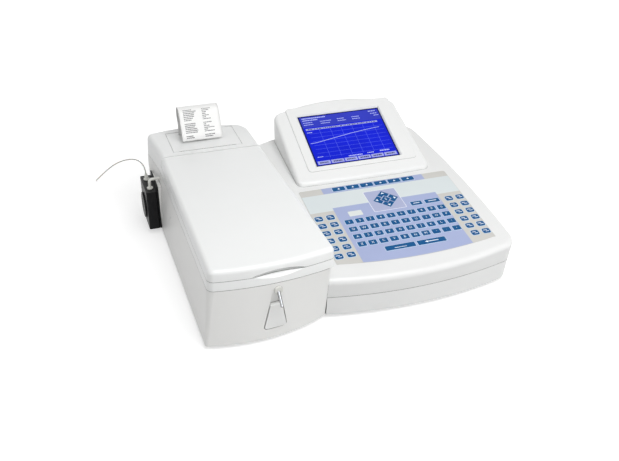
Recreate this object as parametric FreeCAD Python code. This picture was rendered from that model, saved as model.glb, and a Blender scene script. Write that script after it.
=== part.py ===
import FreeCAD, Part
import math
import os

# Benchtop chemistry analyzer: a measuring tower with a lid and a printer on the left, and a
# sloping keypad console with a tilted display on the right. Lengths are in millimetres.
# The design frame has X to the right, Y to the rear and Z up from the table. When the parts
# are written, they move so that the origin lies under the middle of the instrument.

V = FreeCAD.Vector
X_AXIS = V(1, 0, 0)
Y_AXIS = V(0, 1, 0)
Z_AXIS = V(0, 0, 1)

# Common values
foot_height = 5.0
wall = 2.6
seam_gap = 0.5
body_gap = 0.4
fit_gap = 0.05
seat_gap = 0.1
overrun = 3.0
far = 600.0
least_corner = 0.8
front_datum = -15.0
edge_reach = 0.3
seam_step = 1.2

# Tower plan: bottom, seam and loft-top levels
seam_level = 81.0
loft_top = 132.0
upper_start = 20.0
tower_left_bottom = -3.0
tower_left_seam = 3.0
tower_left_top = 7.0
front_x_bottom = 52.0
front_x_seam = 65.0
front_y_bottom = -12.0
front_y_seam = -15.8
front_r_bottom = 195.0
front_r_seam = 330.0
tower_right = 150.5
tower_right_rear = 142.0
tower_right_run = 345.0
rim_overhang = 3.6
tower_rear_x = 60.0
tower_rear_y = 374.0
tower_rear_r = 210.0
corner_front_left = 9.0
corner_front_left_bottom = 4.5
corner_front_right = 6.0
corner_rear_right = 26.0
corner_rear_left = 11.0
tower_flare = 9.0
tower_flare_bottom = 0.4
tower_flare_y = 298.0
flare_round = 300.0
top_fillet = 5.5

# Tilted planes: height at the front datum, and slope in degrees
seam_low = (81.0, 1.35)
seam_high = (92.0, 1.5)
tower_top = (106.0, 1.7)

# Upper housing
deck_height_over_seam = 3.6
deck_plate = 2.4
well_x0 = 14.0
well_x1 = 84.0
well_y0 = 92.0
well_y1 = 262.0
printer_front = 281.0
finger_half_width = 31.0
finger_x = 82.3
finger_depth = 6.4
finger_half_height = 5.0
finger_rise = 1.0
finger_wall = 1.3
finger_roof_share = 0.56
finger_tip_share = 0.03
finger_place_shares = (-1.0, -0.85, -0.6, -0.3, 0.0, 0.3, 0.6, 0.85, 1.0)

# Lid and its hinge
lid_gap = 1.2
hinge_inset = 5.0
hinge_drop = 4.2
pin_r = 1.1
hinge_post_r = 2.4
hinge_post_back = 1.0
hinge_post_width = 6.0
hinge_pocket = 0.5
hinge_lug_r = 2.9
hinge_lug_width = 6.0
hinge_margin = 24.0
lid_rear_fillet = 2.2
skirt_relief = 1.7

# Printer cover, its hinge and the paper strip
cover_x0 = 24.0
cover_x1 = 121.0
cover_front = 290.5
cover_rear = 356.5
cover_plate = 2.4
cover_lip = 1.0
cover_lip_depth = 2.2
cover_lip_inset = 9.0
cover_axis_inset = 4.0
cover_axis_drop = 3.6
cover_rear_gap = 1.2
cover_rear_fillet = 2.2
cover_lug_r = 2.6
cover_lug_width = 5.0
cheek = 3.0
cheek_reach = 4.0
bay_ledge = 1.8
bay_ledge_thickness = 2.0
slot_inset = 9.5
slot_width = 1.4
slot_margin = 1.5
paper_width = 57.0
paper_x = 42.0
paper_thickness = 0.4
paper_below = 5.5
cover_swing = 2.0
strip_points = [(0.0, 14.0), (9.0, 28.0), (4.0, 42.0), (-13.0, 41.0), (-23.0, 22.0), (-33.0, 2.5)]
strip_bend_share = 0.45

# Printer
roll_r = 19.5
roll_core_r = 6.5
roll_y = 314.6
roll_drop = 27.5
roll_side_gap = 0.5
bucket_wall = 1.6
cheek_rear = 8.0
platen_r = 4.5
platen_ahead = 2.6
platen_drop = 14.5
platen_shaft_r = 1.5
gear_module = 0.8
platen_teeth = 18
pinion_teeth = 12
gear_width = 3.0
gear_backlash = 0.3
tooth_share = 0.4
tooth_tip_share = 0.2
gear_slack_share = 1.25
printer_motor_r = 7.0
printer_motor_length = 16.0
motor_shaft_r = 1.0
motor_shaft_in = 5.0
head_thickness = 3.0
head_height = 11.0

# Needle, its boss and the aspirate key
needle_x = 80.6
needle_below_seam = 10.0
needle_r = 1.8
needle_bore = 0.7
needle_out = 20.0
needle_in = 8.0
needle_tilt_deg = 42.0
boss_r = 4.8
boss_spigot_r = 3.4
boss_out = 2.6
boss_in = 5.0
niche_turn_deg = 5.5
niche_depth = 4.6
niche_below_seam = 15.0
niche_top_left = 6.6
niche_top_right = 3.4
niche_bottom_left = 20.6
niche_bottom_right = 14.4
niche_wall_depth = 7.2
niche_block_side = 6.0
key_top_below_seam = 29.0
key_length = 33.0
key_proud = 0.6
key_nose = 1.2
key_hub = 6.4
key_thick_top = 4.2
key_thick_bottom = 2.2
key_side_gap = 1.0
paddle_corner = 3.0
key_pin_drop = 3.0
key_pin_back = 3.0
key_pin_r = 1.3
key_pin_out = 2.6
switch_body_w = 12.0
switch_body_d = 6.0
switch_body_h = 16.0
switch_drop = 20.0
plunger_r = 1.2
plunger_out = 0.8
switch_pin_share = 0.6

# Pump on the left wall
pump_y0 = 280.0
pump_y1 = 337.0
pump_z0 = 8.0
pump_split = 43.0
pump_z1 = 65.0
pump_out = 15.0
pump_corner = 2.0
pump_plate = 2.0
pump_plate_top = 72.0
pump_pad_inset = 0.5
pump_motor_seat = 6.5
pump_motor_nose = 6.0
rotor_z = 34.0
tube_track_r = 15.0
pump_tube_r = 1.5
pump_tube_bore = 0.8
roller_r = 4.0
roller_pitch_r = 9.1
roller_count = 3
roller_first_deg = 30.0
roller_pin_r = 1.2
rotor_plate = 1.6
rotor_disc_r = 12.9
rotor_shaft_in = 8.0
rotor_hub_r = 3.4
rotor_shaft_r = 2.5
rotor_cap_r = 18.0
rotor_cap = 2.2
grip_share = 0.6
cavity_floor = 2.0
pump_motor_r = 14.0
pump_motor_length = 30.0
fitting_flange_r = 4.2
fitting_flange = 1.6
fitting_r = 2.0
cone_base_r = 3.2
cone_tip_r = 1.6
elbow_height = 12.0
elbow_in = 4.0
elbow_bend_share = 0.35

# Free waste tube: its route from the cone's tip, chosen by hand
waste_r = 0.9
waste_route = [
    (-12.8, 323.5, 74.1),
    (-13.2, 324.6, 82.5),
    (-16.2, 332.2, 87.8),
    (-21.8, 346.2, 87.6),
    (-29.2, 365.1, 81.0),
    (-38.2, 387.8, 69.8),
    (-47.5, 411.4, 55.6),
    (-56.4, 434.0, 39.0),
    (-65.8, 457.6, 20.2),
    (-74.8, 480.4, 1.1),
]
waste_bend_share = 0.45

# Optical bench and what stands on it
bench_x0 = 8.0
bench_x1 = 96.0
bench_y0 = 84.0
bench_y1 = 268.0
bench_z = 24.0
bench_plate = 3.0
bench_post_r = 4.0
bench_post_inset = 8.0
light_x = 34.0
light_z = 56.0
lamp_house_w = 40.0
lamp_house_d = 46.0
lamp_house_y = 208.0
lamp_house_top = 82.0
fin_count = 6
fin_depth = 9.0
lamp_bore_r = 8.5
lamp_r = 6.0
lamp_length = 26.0
lamp_cap_r = 8.4
lamp_cap = 6.0
lamp_seat = 4.0
fin_start_share = 0.25
dome_share = 0.8
lens_foot = 14.0
lens_r = 11.0
lens_bore_r = 8.5
lens_y0 = 168.0
wheel_y = 152.0
wheel_r = 28.0
wheel_thickness = 5.0
wheel_hub_r = 5.0
filter_pitch_r = 21.0
filter_r = 5.0
filter_count = 8
filter_thickness = 3.0
wheel_shaft_r = 1.5
filter_motor_r = 10.0
filter_motor_length = 24.0
filter_motor_foot = 14.0
filter_shaft_in = 8.0
cell_w = 20.0
cell_d = 26.0
cell_y = 108.0
cell_top = 74.0
cell_bore_r = 3.0
cell_port_pitch = 10.0
detector_w = 44.0
detector_h = 50.0
detector_board_t = 1.6
detector_can_r = 4.0
detector_can = 6.0
detector_shift = 8.0
detector_foot = 8.0
sample_tube_r = 1.2
needle_hose = 5.0
port_high = 79.6
sample_bend_share = 0.45
needle_route = [
    (78.6, 6.0, 80.6),
    (72.0, 30.0, 80.2),
    (58.0, 60.0, 80.2),
    (44.0, 86.0, 80.2),
    (36.4, 100.0, 80.2),
]
pump_side_route = [
    (15.0, 292.4, 78.6),
    (19.6, 281.0, 80.4),
    (20.0, 266.0, 84.4),
    (20.4, 236.0, 84.8),
    (22.6, 206.0, 84.6),
    (26.0, 176.0, 83.4),
    (31.0, 144.0, 80.2),
]

# Console plan
console_seam = 31.0
console_front_x = 255.0
console_front_bottom = -1.5
console_front_seam = -3.5
console_front_deck = -9.0
console_deck_level = 57.0
console_front_r = 490.0
console_right_bottom = 398.0
console_right_seam = 401.0
console_right_y = 55.0
console_right_r = 1500.0
console_rear_x = 258.0
console_rear_y = 324.0
console_rear_r = 300.0
console_corner_front = 24.0
console_corner_rear = 22.0
deck_fillet = 7.0
tower_clearance = 0.7

# Deck plane through the keypad's rear left corner
pad_x = 165.5
pad_y = 174.4
pad_z = 86.5
deck_slope_deg = 9.79

# Keypad, in deck coordinates: across and up the slope from the pad's rear left corner
pad_width = 212.0
pad_side = 148.0
pad_bulge = 10.0
pad_corner = 3.0
pad_thickness = 0.6
pad_recess = 0.4
key_height = 0.5
key_corner = 0.8
function_count = 6
function_first = 54.2
function_pitch = 20.0
function_row = -5.8
function_w = 17.4
function_h = 8.2
char_columns = 10
char_rows = 4
char_first_x = 42.9
char_first_y = -76.0
char_pitch_x = 14.3
char_pitch_y = 14.85
char_w = 10.6
char_h = 8.6
side_columns = 2
side_rows = 6
side_left_x = 7.4
side_right_x = 189.8
side_first_y = -61.2
side_pitch_x = 15.7
side_pitch_y = 14.9
side_w = 10.2
side_h = 9.0
side_corner = 2.2
wide_key_h = 8.2
wide_row = -136.6
space_x = 87.0
space_w = 39.5
back_x = 129.2
back_w = 38.0
upper_row = -60.2
upper_key_h = 7.4
clear_x = 142.8
clear_w = 15.4
enter_x = 165.6
enter_w = 20.4
cursor_x = 107.0
cursor_y = -42.0
cursor_inner = 4.6
cursor_ring_in = 5.8
cursor_ring_out = 12.4
cursor_slot = 1.6
cursor_turn_deg = 45

# Screen housing, in plan and in face coordinates from the display's lower left corner
screen_x = 203.4
screen_y = 208.5
screen_z = 104.0
screen_tilt_deg = 24.3
display_w = 123.0
display_h = 95.0
housing_left = 168.6
housing_left_rear = 170.5
housing_right = 360.5
housing_right_rear = 353.5
housing_front = 182.6
housing_front_r = 2600.0
housing_rear_y = 322.0
housing_rear_r = 290.0
housing_corner_front = 9.0
housing_corner_rear = 13.0
housing_fillet = 5.0
bezel_left = 14.0
bezel_right = 21.0
bezel_below = 9.0
bezel_above = 17.0
bezel_corner = 5.0
bezel_seat = 1.6
bezel_thickness = 2.4
bezel_bevel = 1.6
bezel_edge_share = 0.5
panel_margin = 2.0
panel_thickness = 2.6
frame_margin = 5.0
frame_thickness = 5.4
frame_boss_r = 3.5
cable_hole_w = 90.0
cable_hole_d = 30.0
cable_hole_y = 235.0

# Rear panel of the console
panel_x0 = 186.0
panel_x1 = 326.0
panel_z0 = 36.0
panel_z1 = 98.0
panel_y = 307.0
panel_t = 1.5
panel_frame = 4.0
panel_lip_x = 7.0
panel_lip_z = 1.5
inlet_x = 300.0
inlet_w = 28.0
inlet_z0 = 44.0
inlet_z1 = 90.0
inlet_flange = 2.5
inlet_flange_side = 2.5
inlet_depth = 24.0
socket_w = 23.0
socket_h = 15.5
socket_z = 54.0
socket_depth = 17.0
socket_cut_share = 0.3
blade_w = 4.0
blade_t = 2.0
blade_pitch = 7.0
blade_raise = 2.0
blade_length = 11.0
fuse_w = 23.0
fuse_h = 8.0
fuse_z = 68.5
fuse_depth = 17.0
fuse_wall = 1.4
fuse_face = 2.2
fuse_grip = 1.2
fuse_end_gap = 1.0
fuse_r = 2.2
fuse_sink = 0.4
rocker_w = 21.0
rocker_h = 12.0
rocker_z = 81.5
rocker_depth = 12.0
rocker_proud = 2.0
rocker_tilt_deg = 10.0
rocker_pin_r = 1.2
rocker_pin_out = 1.2
rocker_side_gap = 0.5
rocker_end_gap = 1.0
rocker_sink = 3.0
rocker_back = 4.0
rocker_root_share = 0.6
rocker_swing_r = 6.9
port_x = 262.0
port_z = 72.0
port_w = 31.0
port_h = 12.5
port_flange = 1.2
port_shell_w = 17.0
port_shell_h = 8.4
port_shell = 5.0
port_shell_corner = 1.6
port_shell_wall = 0.8
port_depth = 9.0
port_pin_r = 0.5
port_pin_pitch = 2.77
port_pin_depth = 4.0
port_pin_row = 1.42
fan_x = 221.0
fan_z = 67.0
fan_size = 50.0
fan_thickness = 15.0
fan_corner = 4.0
fan_screw_pitch = 40.0
fan_bore_r = 23.5
fan_blade_r = 22.6
fan_hub_r = 10.0
fan_hub_depth = 9.0
fan_blades = 7
fan_blade_t = 1.2
fan_blade_pitch_deg = 32.0
fan_blade_root = 1.0
fan_axle_r = 2.0
fan_spoke_w = 3.0
fan_back = 2.4
fan_motor_r = 9.5
grille_r = 22.0
grille_hub_r = 4.0
grille_rings = 4
grille_slot = 3.2
grille_bar = 2.4

# Boards, supply, feet, screws and small openings
board_x0 = 170.0
board_x1 = 360.0
board_y0 = 40.0
board_y1 = 190.0
board_rise = 8.0
board_t = 1.6
board_post_r = 3.5
board_post_inset = 8.0
chip_h = 3.0
chip_shares = [
    (0.2, 0.25, 0.16, 0.2),
    (0.5, 0.3, 0.12, 0.15),
    (0.3, 0.65, 0.25, 0.12),
    (0.75, 0.6, 0.14, 0.26),
]
supply_x0 = 176.0
supply_x1 = 284.0
supply_y0 = 205.0
supply_y1 = 275.0
supply_h = 36.0
supply_sheet = 1.4
coil_r = 16.0
coil_h = 22.0
cap_r = 9.0
cap_h = 28.0
coil_share = 0.28
cap_share = 0.78
cap_apart_share = 1.4
foot_r = 8.0
foot_round = 1.0
foot_inset = 27.0
foot_front = 32.0
foot_rear = 28.0
foot_console_rear = 48.0
screw_r = 1.5
screw_head_r = 2.8
screw_head = 1.8
screw_length = 8.0
screw_inset = 3.6
vent_count = 8
vent_pitch = 9.0
vent_width = 3.0
vent_z0 = 26.0
vent_z1 = 62.0
vent_reach = 12.0
side_hole_y = 213.0
side_hole_z = 58.0
side_hole_r = 1.5


def box(x0, y0, z0, x1, y1, z1):
    return Part.makeBox(x1 - x0, y1 - y0, z1 - z0, V(x0, y0, z0))


def rod(x, y, z, radius, length, axis):
    return Part.makeCylinder(radius, length, V(x, y, z), axis)


def blend(value_low, value_high, z, z_low, z_high):
    return value_low + (value_high - value_low) * (z - z_low) / (z_high - z_low)


def plane_height(plane, y):
    return plane[0] + (y - front_datum) * math.tan(math.radians(plane[1]))


def lifted(plane, rise):
    return (plane[0] + rise, plane[1])


# An outline's sides are lines or circles with the inside to the left of the way round.
def line_side(x0, y0, x1, y1):
    length = math.hypot(x1 - x0, y1 - y0)
    return ("line", (x0, y0), ((x1 - x0) / length, (y1 - y0) / length))


def inset_side(side, distance):
    if side[0] == "arc":
        return ("arc", side[1], side[2] - distance)
    (x, y), (dx, dy) = side[1], side[2]
    return ("line", (x - dy * distance, y + dx * distance), (dx, dy))


def foot_on(side, point):
    if side[0] == "arc":
        cx, cy = side[1]
        reach = math.dist(side[1], point)
        return (cx + (point[0] - cx) * side[2] / reach, cy + (point[1] - cy) * side[2] / reach)
    (x, y), (dx, dy) = side[1], side[2]
    along = (point[0] - x) * dx + (point[1] - y) * dy
    return (x + along * dx, y + along * dy)


def meeting(first, second, near):
    if first[0] == "line" and second[0] == "line":
        (x, y), (dx, dy) = first[1], first[2]
        (u, v), (eu, ev) = second[1], second[2]
        along = ((u - x) * ev - (v - y) * eu) / (dx * ev - dy * eu)
        return (x + along * dx, y + along * dy)
    if first[0] == "arc" and second[0] == "line":
        return meeting(second, first, near)
    if first[0] == "line":
        base = foot_on(first, second[1])
        half = math.sqrt(second[2] ** 2 - math.dist(base, second[1]) ** 2)
        dx, dy = first[2]
    else:
        span = math.dist(first[1], second[1])
        along = (first[2] ** 2 - second[2] ** 2 + span ** 2) / (2 * span)
        half = math.sqrt(first[2] ** 2 - along ** 2)
        ux = (second[1][0] - first[1][0]) / span
        uy = (second[1][1] - first[1][1]) / span
        base = (first[1][0] + ux * along, first[1][1] + uy * along)
        dx, dy = -uy, ux
    options = [(base[0] + dx * half, base[1] + dy * half), (base[0] - dx * half, base[1] - dy * half)]
    return min(options, key=lambda point: math.dist(point, near))


def corner_points(before, after, radius, near, z):
    if radius == 0:
        sharp = V(*meeting(before, after, near), z)
        return [sharp]
    centre = meeting(inset_side(before, radius), inset_side(after, radius), near)
    middle = V(*centre, z)
    entry = V(*foot_on(before, centre), z)
    leave = V(*foot_on(after, centre), z)
    half = (entry - middle) + (leave - middle)
    half.normalize()
    return [entry, middle + half * abs(radius), leave]


# A radius below zero rounds a corner that bends inward; such a corner widens as the wire shrinks
def shrunk_radius(radius, inward):
    if radius > 0:
        return max(radius - inward, least_corner)
    if radius < 0:
        return radius - inward
    return 0


def rounded_wire(sides, radii, corners, z, inward=0.0):
    count = len(sides)
    moved = [inset_side(side, inward) for side in sides]
    turns = []
    for index in range(count):
        after = moved[(index + 1) % count]
        radius = shrunk_radius(radii[index], inward)
        turns.append(corner_points(moved[index], after, radius, corners[index], z))
    edges = []
    for index in range(count):
        start = turns[index - 1][-1]
        end = turns[index][0]
        side = moved[index]
        if side[0] == "line":
            edges.append(Part.makeLine(start, end))
        else:
            centre = V(*side[1], z)
            way = (start - centre) + (end - centre)
            way.normalize()
            edges.append(Part.Arc(start, centre + way * side[2], end).toShape())
        if len(turns[index]) > 1:
            edges.append(Part.Arc(*turns[index]).toShape())
    return Part.Wire(edges)


def slab(low, high):
    y0 = -far
    y1 = far
    points = []
    for plane, y in ((low, y0), (low, y1), (high, y1), (high, y0)):
        points.append(V(-far, y, plane_height(plane, y)))
    face = Part.Face(Part.makePolygon(points + [points[0]]))
    return face.extrude(V(2 * far, 0, 0))


def prism_x(points, x0, x1):
    wire = Part.makePolygon([V(x0, y, z) for y, z in points + [points[0]]])
    return Part.Face(wire).extrude(V(x1 - x0, 0, 0))


def prism_y(points, y0, y1):
    wire = Part.makePolygon([V(x, y0, z) for x, z in points + [points[0]]])
    return Part.Face(wire).extrude(V(0, y1 - y0, 0))


def tower_sides(z, overhang):
    if z <= seam_level:
        span = (z, foot_height, seam_level)
        left = blend(tower_left_bottom, tower_left_seam, *span)
        flare = blend(tower_flare_bottom, tower_flare, *span)
        fx = blend(front_x_bottom, front_x_seam, *span)
        fy = blend(front_y_bottom, front_y_seam, *span)
        fr = blend(front_r_bottom, front_r_seam, *span)
    else:
        left = blend(tower_left_seam, tower_left_top, z, seam_level, loft_top)
        flare = tower_flare
        fx, fy, fr = front_x_seam, front_y_seam, front_r_seam
    right = line_side(tower_right - overhang, 0, tower_right_rear - overhang, tower_right_run)
    sides = [
        ("arc", (fx, fy + fr), fr),
        right,
        ("arc", (tower_rear_x, tower_rear_y - tower_rear_r), tower_rear_r),
        line_side(left - flare, tower_rear_y, left, tower_flare_y),
        line_side(left, tower_flare_y, left, 0),
    ]
    corners = [
        (tower_right, 0),
        (tower_right_rear, tower_rear_y),
        (left - flare, tower_rear_y),
        (left, tower_flare_y),
        (left, fy),
    ]
    return sides, corners


def tower_wire(z, overhang, inward=0.0):
    sides, corners = tower_sides(z, overhang)
    front_left = corner_front_left
    if z <= seam_level:
        front_left = blend(corner_front_left_bottom, corner_front_left, z, foot_height, seam_level)
    radii = [corner_front_right, corner_rear_right, corner_rear_left, -flare_round, front_left]
    return rounded_wire(sides, radii, corners, z, inward)


def tower_loft(z0, z1, overhang, inward=0.0):
    levels = [z0, z1]
    if z0 < seam_level < z1:
        levels = [z0, seam_level, z1]
    return Part.makeLoft([tower_wire(z, overhang, inward) for z in levels], True, True)


def console_sides(z):
    if z <= console_seam:
        span = (z, foot_height, console_seam)
        fy = blend(console_front_bottom, console_front_seam, *span)
        right = blend(console_right_bottom, console_right_seam, *span)
    else:
        fy = blend(console_front_seam, console_front_deck, z, console_seam, console_deck_level)
        right = console_right_seam
    left_front = tower_right - rim_overhang
    left_rear = tower_right_rear - rim_overhang
    sides = [
        ("arc", (console_front_x, fy + console_front_r), console_front_r),
        ("arc", (right - console_right_r, console_right_y), console_right_r),
        ("arc", (console_rear_x, console_rear_y - console_rear_r), console_rear_r),
        line_side(left_rear, tower_right_run, left_front, 0),
    ]
    corners = [(right, fy), (right, console_rear_y), (left_rear, console_rear_y), (left_front, fy)]
    return sides, corners


def console_wire(z, inward=0.0):
    sides, corners = console_sides(z)
    radii = [console_corner_front, console_corner_rear, 0, 0]
    return rounded_wire(sides, radii, corners, z, inward)


def console_loft(levels, inward=0.0):
    return Part.makeLoft([console_wire(z, inward) for z in levels], True, True)


def deck_plane():
    slope = deck_slope_deg
    return (pad_z + (front_datum - pad_y) * math.tan(math.radians(slope)), slope)


def face_plane():
    slope = screen_tilt_deg
    return (screen_z + (front_datum - screen_y) * math.tan(math.radians(slope)), slope)


def bottom_plane():
    return (-far, 0)


def top_plane():
    return (far, 0)


def thickness_drop(plane, thickness):
    return lifted(plane, -thickness / math.cos(math.radians(plane[1])))


# Shapes drawn flat on the deck or on the display face, then tilted into place
def on_deck(shape):
    placed = shape.copy()
    placed.rotate(V(0, 0, 0), X_AXIS, deck_slope_deg)
    placed.translate(V(pad_x, pad_y, pad_z))
    return placed


def on_face(shape):
    placed = shape.copy()
    placed.rotate(V(0, 0, 0), X_AXIS, screen_tilt_deg)
    placed.translate(V(screen_x, screen_y, screen_z))
    return placed


def rounded_block(x0, y0, z0, x1, y1, z1, radius):
    block = box(x0, y0, z0, x1, y1, z1)
    upright = [edge for edge in block.Edges if abs(edge.tangentAt(edge.FirstParameter).z) > 0.5]
    return block.makeFillet(radius, upright)


def edges_on(shape, test):
    return [edge for edge in shape.Edges if test(edge.CenterOfMass)]


def near_plane(plane, point, reach):
    return abs(point.z - plane_height(plane, point.y)) < reach


def fused(shapes):
    body = shapes[0]
    if len(shapes) > 1:
        body = body.fuse(shapes[1:])
    return body.removeSplitter()


def cut_all(shape, cutters):
    return shape.cut(cutters).removeSplitter()


def gathered(shapes):
    return Part.makeCompound(shapes)


def front_wall_y(x, z):
    span = (min(z, seam_level), foot_height, seam_level)
    fx = blend(front_x_bottom, front_x_seam, *span)
    fy = blend(front_y_bottom, front_y_seam, *span)
    fr = blend(front_r_bottom, front_r_seam, *span)
    return fy + fr - math.sqrt(fr ** 2 - (x - fx) ** 2)


# The line from a point through rounded bends, as lines and arcs that meet smoothly
def smooth_path(points, bend_share):
    stops = [V(*point) for point in points]
    edges = []
    radii = []
    start = stops[0]
    for index in range(1, len(stops) - 1):
        corner = stops[index]
        before = corner - stops[index - 1]
        after = stops[index + 1] - corner
        reach = bend_share * min(before.Length, after.Length)
        before.normalize()
        after.normalize()
        half = (math.pi - before.getAngle(after)) / 2
        radius = reach * math.tan(half)
        inward = after - before
        inward.normalize()
        entry = corner - before * reach
        leave = corner + after * reach
        middle = corner + inward * (reach / math.cos(half) - radius)
        edges.append(Part.makeLine(start, entry))
        edges.append(Part.Arc(entry, middle, leave).toShape())
        radii.append(radius)
        start = leave
    edges.append(Part.makeLine(start, stops[-1]))
    return Part.Wire(edges), radii


def tube_along(points, radius, bend_share):
    path, bends = smooth_path(points, bend_share)
    way = V(*points[1]) - V(*points[0])
    ring = Part.Wire(Part.makeCircle(radius, V(*points[0]), way))
    return path.makePipeShell([ring], True, False), path, bends


# Finger scoop across the gap between lid and rim, and the thicker wall behind it
def finger_stations():
    stations = []
    for place in finger_place_shares:
        x = finger_x + place * finger_half_width
        share = max(1 - place ** 2, finger_tip_share)
        stations.append((x, front_wall_y(x, seam_high[0]), share))
    return stations


def closed_loft(outlines):
    wires = [Part.makePolygon([V(*point) for point in outline + [outline[0]]]) for outline in outlines]
    return Part.makeLoft(wires, True, False)


def finger_scoop():
    fall = finger_depth * finger_roof_share
    floor_share = (2 * finger_half_height - fall) / finger_depth
    outlines = []
    for x, y, share in finger_stations():
        z = plane_height(seam_high, y) + finger_rise
        half = finger_half_height * share
        outlines.append(
            [
                (x, y - overrun, z - half - overrun * floor_share),
                (x, y + finger_depth * share, z + half - fall * share),
                (x, y - overrun, z + half + overrun * finger_roof_share),
            ]
        )
    return closed_loft(outlines)


def finger_backing():
    outlines = []
    for x, y, share in finger_stations():
        z = plane_height(seam_high, y) + finger_rise
        inner = y + finger_depth * share + finger_wall
        reach = finger_half_height + wall
        outlines.append(
            [
                (x, y - overrun, z - reach),
                (x, inner, z - reach),
                (x, inner, z + reach),
                (x, y - overrun, z + reach),
            ]
        )
    return closed_loft(outlines)


def tower_upper():
    block = tower_loft(seam_level - upper_start, loft_top, 0.0).common(slab(seam_low, tower_top))
    top_edges = edges_on(block, lambda c: near_plane(tower_top, c, edge_reach))
    return block.makeFillet(top_fillet, top_edges)


def behind(y):
    return box(-far, y, -far, far, far, far)


def before(y):
    return box(-far, -far, -far, far, y, far)


def tower_casing():
    solid = tower_loft(foot_height, loft_top, rim_overhang)
    outer = solid.common(slab(bottom_plane(), lifted(seam_low, -seam_gap)))
    step = tower_loft(foot_height, loft_top, rim_overhang, seam_step)
    step = step.common(slab(bottom_plane(), seam_low))
    pad = box(
        tower_left_bottom,
        pump_y0 + pump_pad_inset,
        pump_z0 + pump_pad_inset,
        tower_left_seam + wall,
        pump_y1 - pump_pad_inset,
        pump_plate_top - pump_pad_inset,
    )
    plunger_z = -key_top_below_seam - switch_drop
    plunger_hole = in_niche(rod(0, 0, plunger_z, plunger_r + body_gap, niche_wall_depth, Y_AXIS))
    niche_block = in_niche(niche_shape(niche_block_side, niche_wall_depth))
    niche_block = niche_block.common(tower_loft(foot_height, loft_top, rim_overhang, seam_step))
    inside = tower_loft(foot_height + wall, loft_top, rim_overhang, wall)
    shell = fused([outer, step]).cut(inside)
    body = fused([shell, pad, niche_block.common(slab(bottom_plane(), seam_low))])
    cutters = [
        box(-far, pump_y0, pump_z0, tower_left_bottom, pump_y1, pump_plate_top),
        in_niche(niche_shape(0.0, niche_depth)),
        in_niche(rod(0, -far, -needle_below_seam, boss_spigot_r + seat_gap, 2 * far, Y_AXIS)).common(
            before(boss_in)
        ),
        needle_rod(needle_r + fit_gap),
        in_niche(key_pin_rod(key_pin_r + fit_gap, key_pin_out + fit_gap)),
        plunger_hole,
        rod(-far, side_hole_y, side_hole_z, side_hole_r, far + wall * 2, X_AXIS),
        rod(-far, pump_middle(), rotor_z, pump_motor_seat, far + wall * 3, X_AXIS),
        rod(-far, elbow_y(), elbow_z(), fitting_r + seat_gap, far + wall * 3, X_AXIS),
    ]
    first = tower_rear_x - (vent_count - 1) * vent_pitch / 2
    for index in range(vent_count):
        x = first + index * vent_pitch - vent_width / 2
        cutters.append(box(x, tower_rear_y - vent_reach, vent_z0, x + vent_width, far, vent_z1))
    return cut_all(body, cutters)


def lid_rear():
    return printer_front - lid_gap


def lid_axis():
    y = lid_rear() - hinge_inset
    return y, plane_height(tower_top, y) - hinge_drop


def hinge_places():
    left = tower_left_seam + hinge_margin
    right = tower_right_rear - hinge_margin
    return [(left, left + hinge_post_width), (right - hinge_post_width, right)]


def hinge_lug_span(post):
    if post[0] < tower_rear_x:
        return post[1] + body_gap, post[1] + body_gap + hinge_lug_width
    return post[0] - body_gap - hinge_lug_width, post[0] - body_gap


def lid():
    block = tower_upper()
    rear = lid_rear()
    y_axis, z_axis = lid_axis()
    skirt = lifted(seam_high, seam_gap)
    shell = block.common(before(rear)).common(slab(skirt, top_plane()))
    rim_line = edges_on(
        shell, lambda c: abs(c.y - rear) < edge_reach and near_plane(tower_top, c, edge_reach)
    )
    shell = shell.makeFillet(lid_rear_fillet, rim_line)
    inside = tower_loft(seam_level - upper_start, loft_top, 0.0, wall)
    inside = inside.common(slab(bottom_plane(), thickness_drop(tower_top, wall)))
    keep = finger_backing().common(tower_loft(seam_level - upper_start, loft_top, 0.0, wall))
    keep = keep.common(slab(skirt, thickness_drop(tower_top, wall)))
    body = fused([shell.cut(inside), keep])
    roof = slab(bottom_plane(), thickness_drop(tower_top, wall / 2))
    adds = []
    cutters = [finger_scoop()]
    for post in hinge_places():
        x0, x1 = hinge_lug_span(post)
        lug = rod(x0, y_axis, z_axis, hinge_lug_r, x1 - x0, X_AXIS)
        web = box(x0, y_axis - hinge_lug_r, z_axis, x1, y_axis + hinge_lug_r, loft_top)
        adds.append(fused([lug, web]).common(roof))
        pocket_r = hinge_post_r + hinge_pocket
        pocket_width = hinge_post_width + 2 * body_gap
        cutters.append(rod(post[0] - body_gap, y_axis, z_axis, pocket_r, pocket_width, X_AXIS))
        bore_length = hinge_lug_width + 2 * overrun
        cutters.append(rod(x0 - overrun, y_axis, z_axis, pin_r + fit_gap, bore_length, X_AXIS))
    relief = prism_x(
        [
            (y_axis, plane_height(skirt, y_axis) - overrun),
            (y_axis, plane_height(skirt, y_axis)),
            (rear + overrun, plane_height(skirt, rear) + skirt_relief),
            (rear + overrun, plane_height(skirt, rear) - overrun),
        ],
        -far,
        far,
    )
    cutters.append(relief)
    return cut_all(fused([body] + adds), cutters)


def hinge_pins():
    y_axis, z_axis = lid_axis()
    pins = []
    for post in hinge_places():
        x0, x1 = hinge_lug_span(post)
        low = min(post[0], x0)
        pins.append(rod(low, y_axis, z_axis, pin_r, max(post[1], x1) - low, X_AXIS))
    y_cover, z_cover = cover_axis()
    for x0, x1 in cover_lug_spans():
        low, high = cover_pin_span(x0, x1)
        pins.append(rod(low, y_cover, z_cover, pin_r, high - low, X_AXIS))
    return gathered(pins)


def bay_box(margin, low):
    return box(cover_x0 - margin, cover_front - margin, low, cover_x1 + margin, cover_rear + margin, far)


def cover_axis():
    y = cover_rear - cover_axis_inset
    return y, plane_height(tower_top, y) - cover_axis_drop


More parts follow.
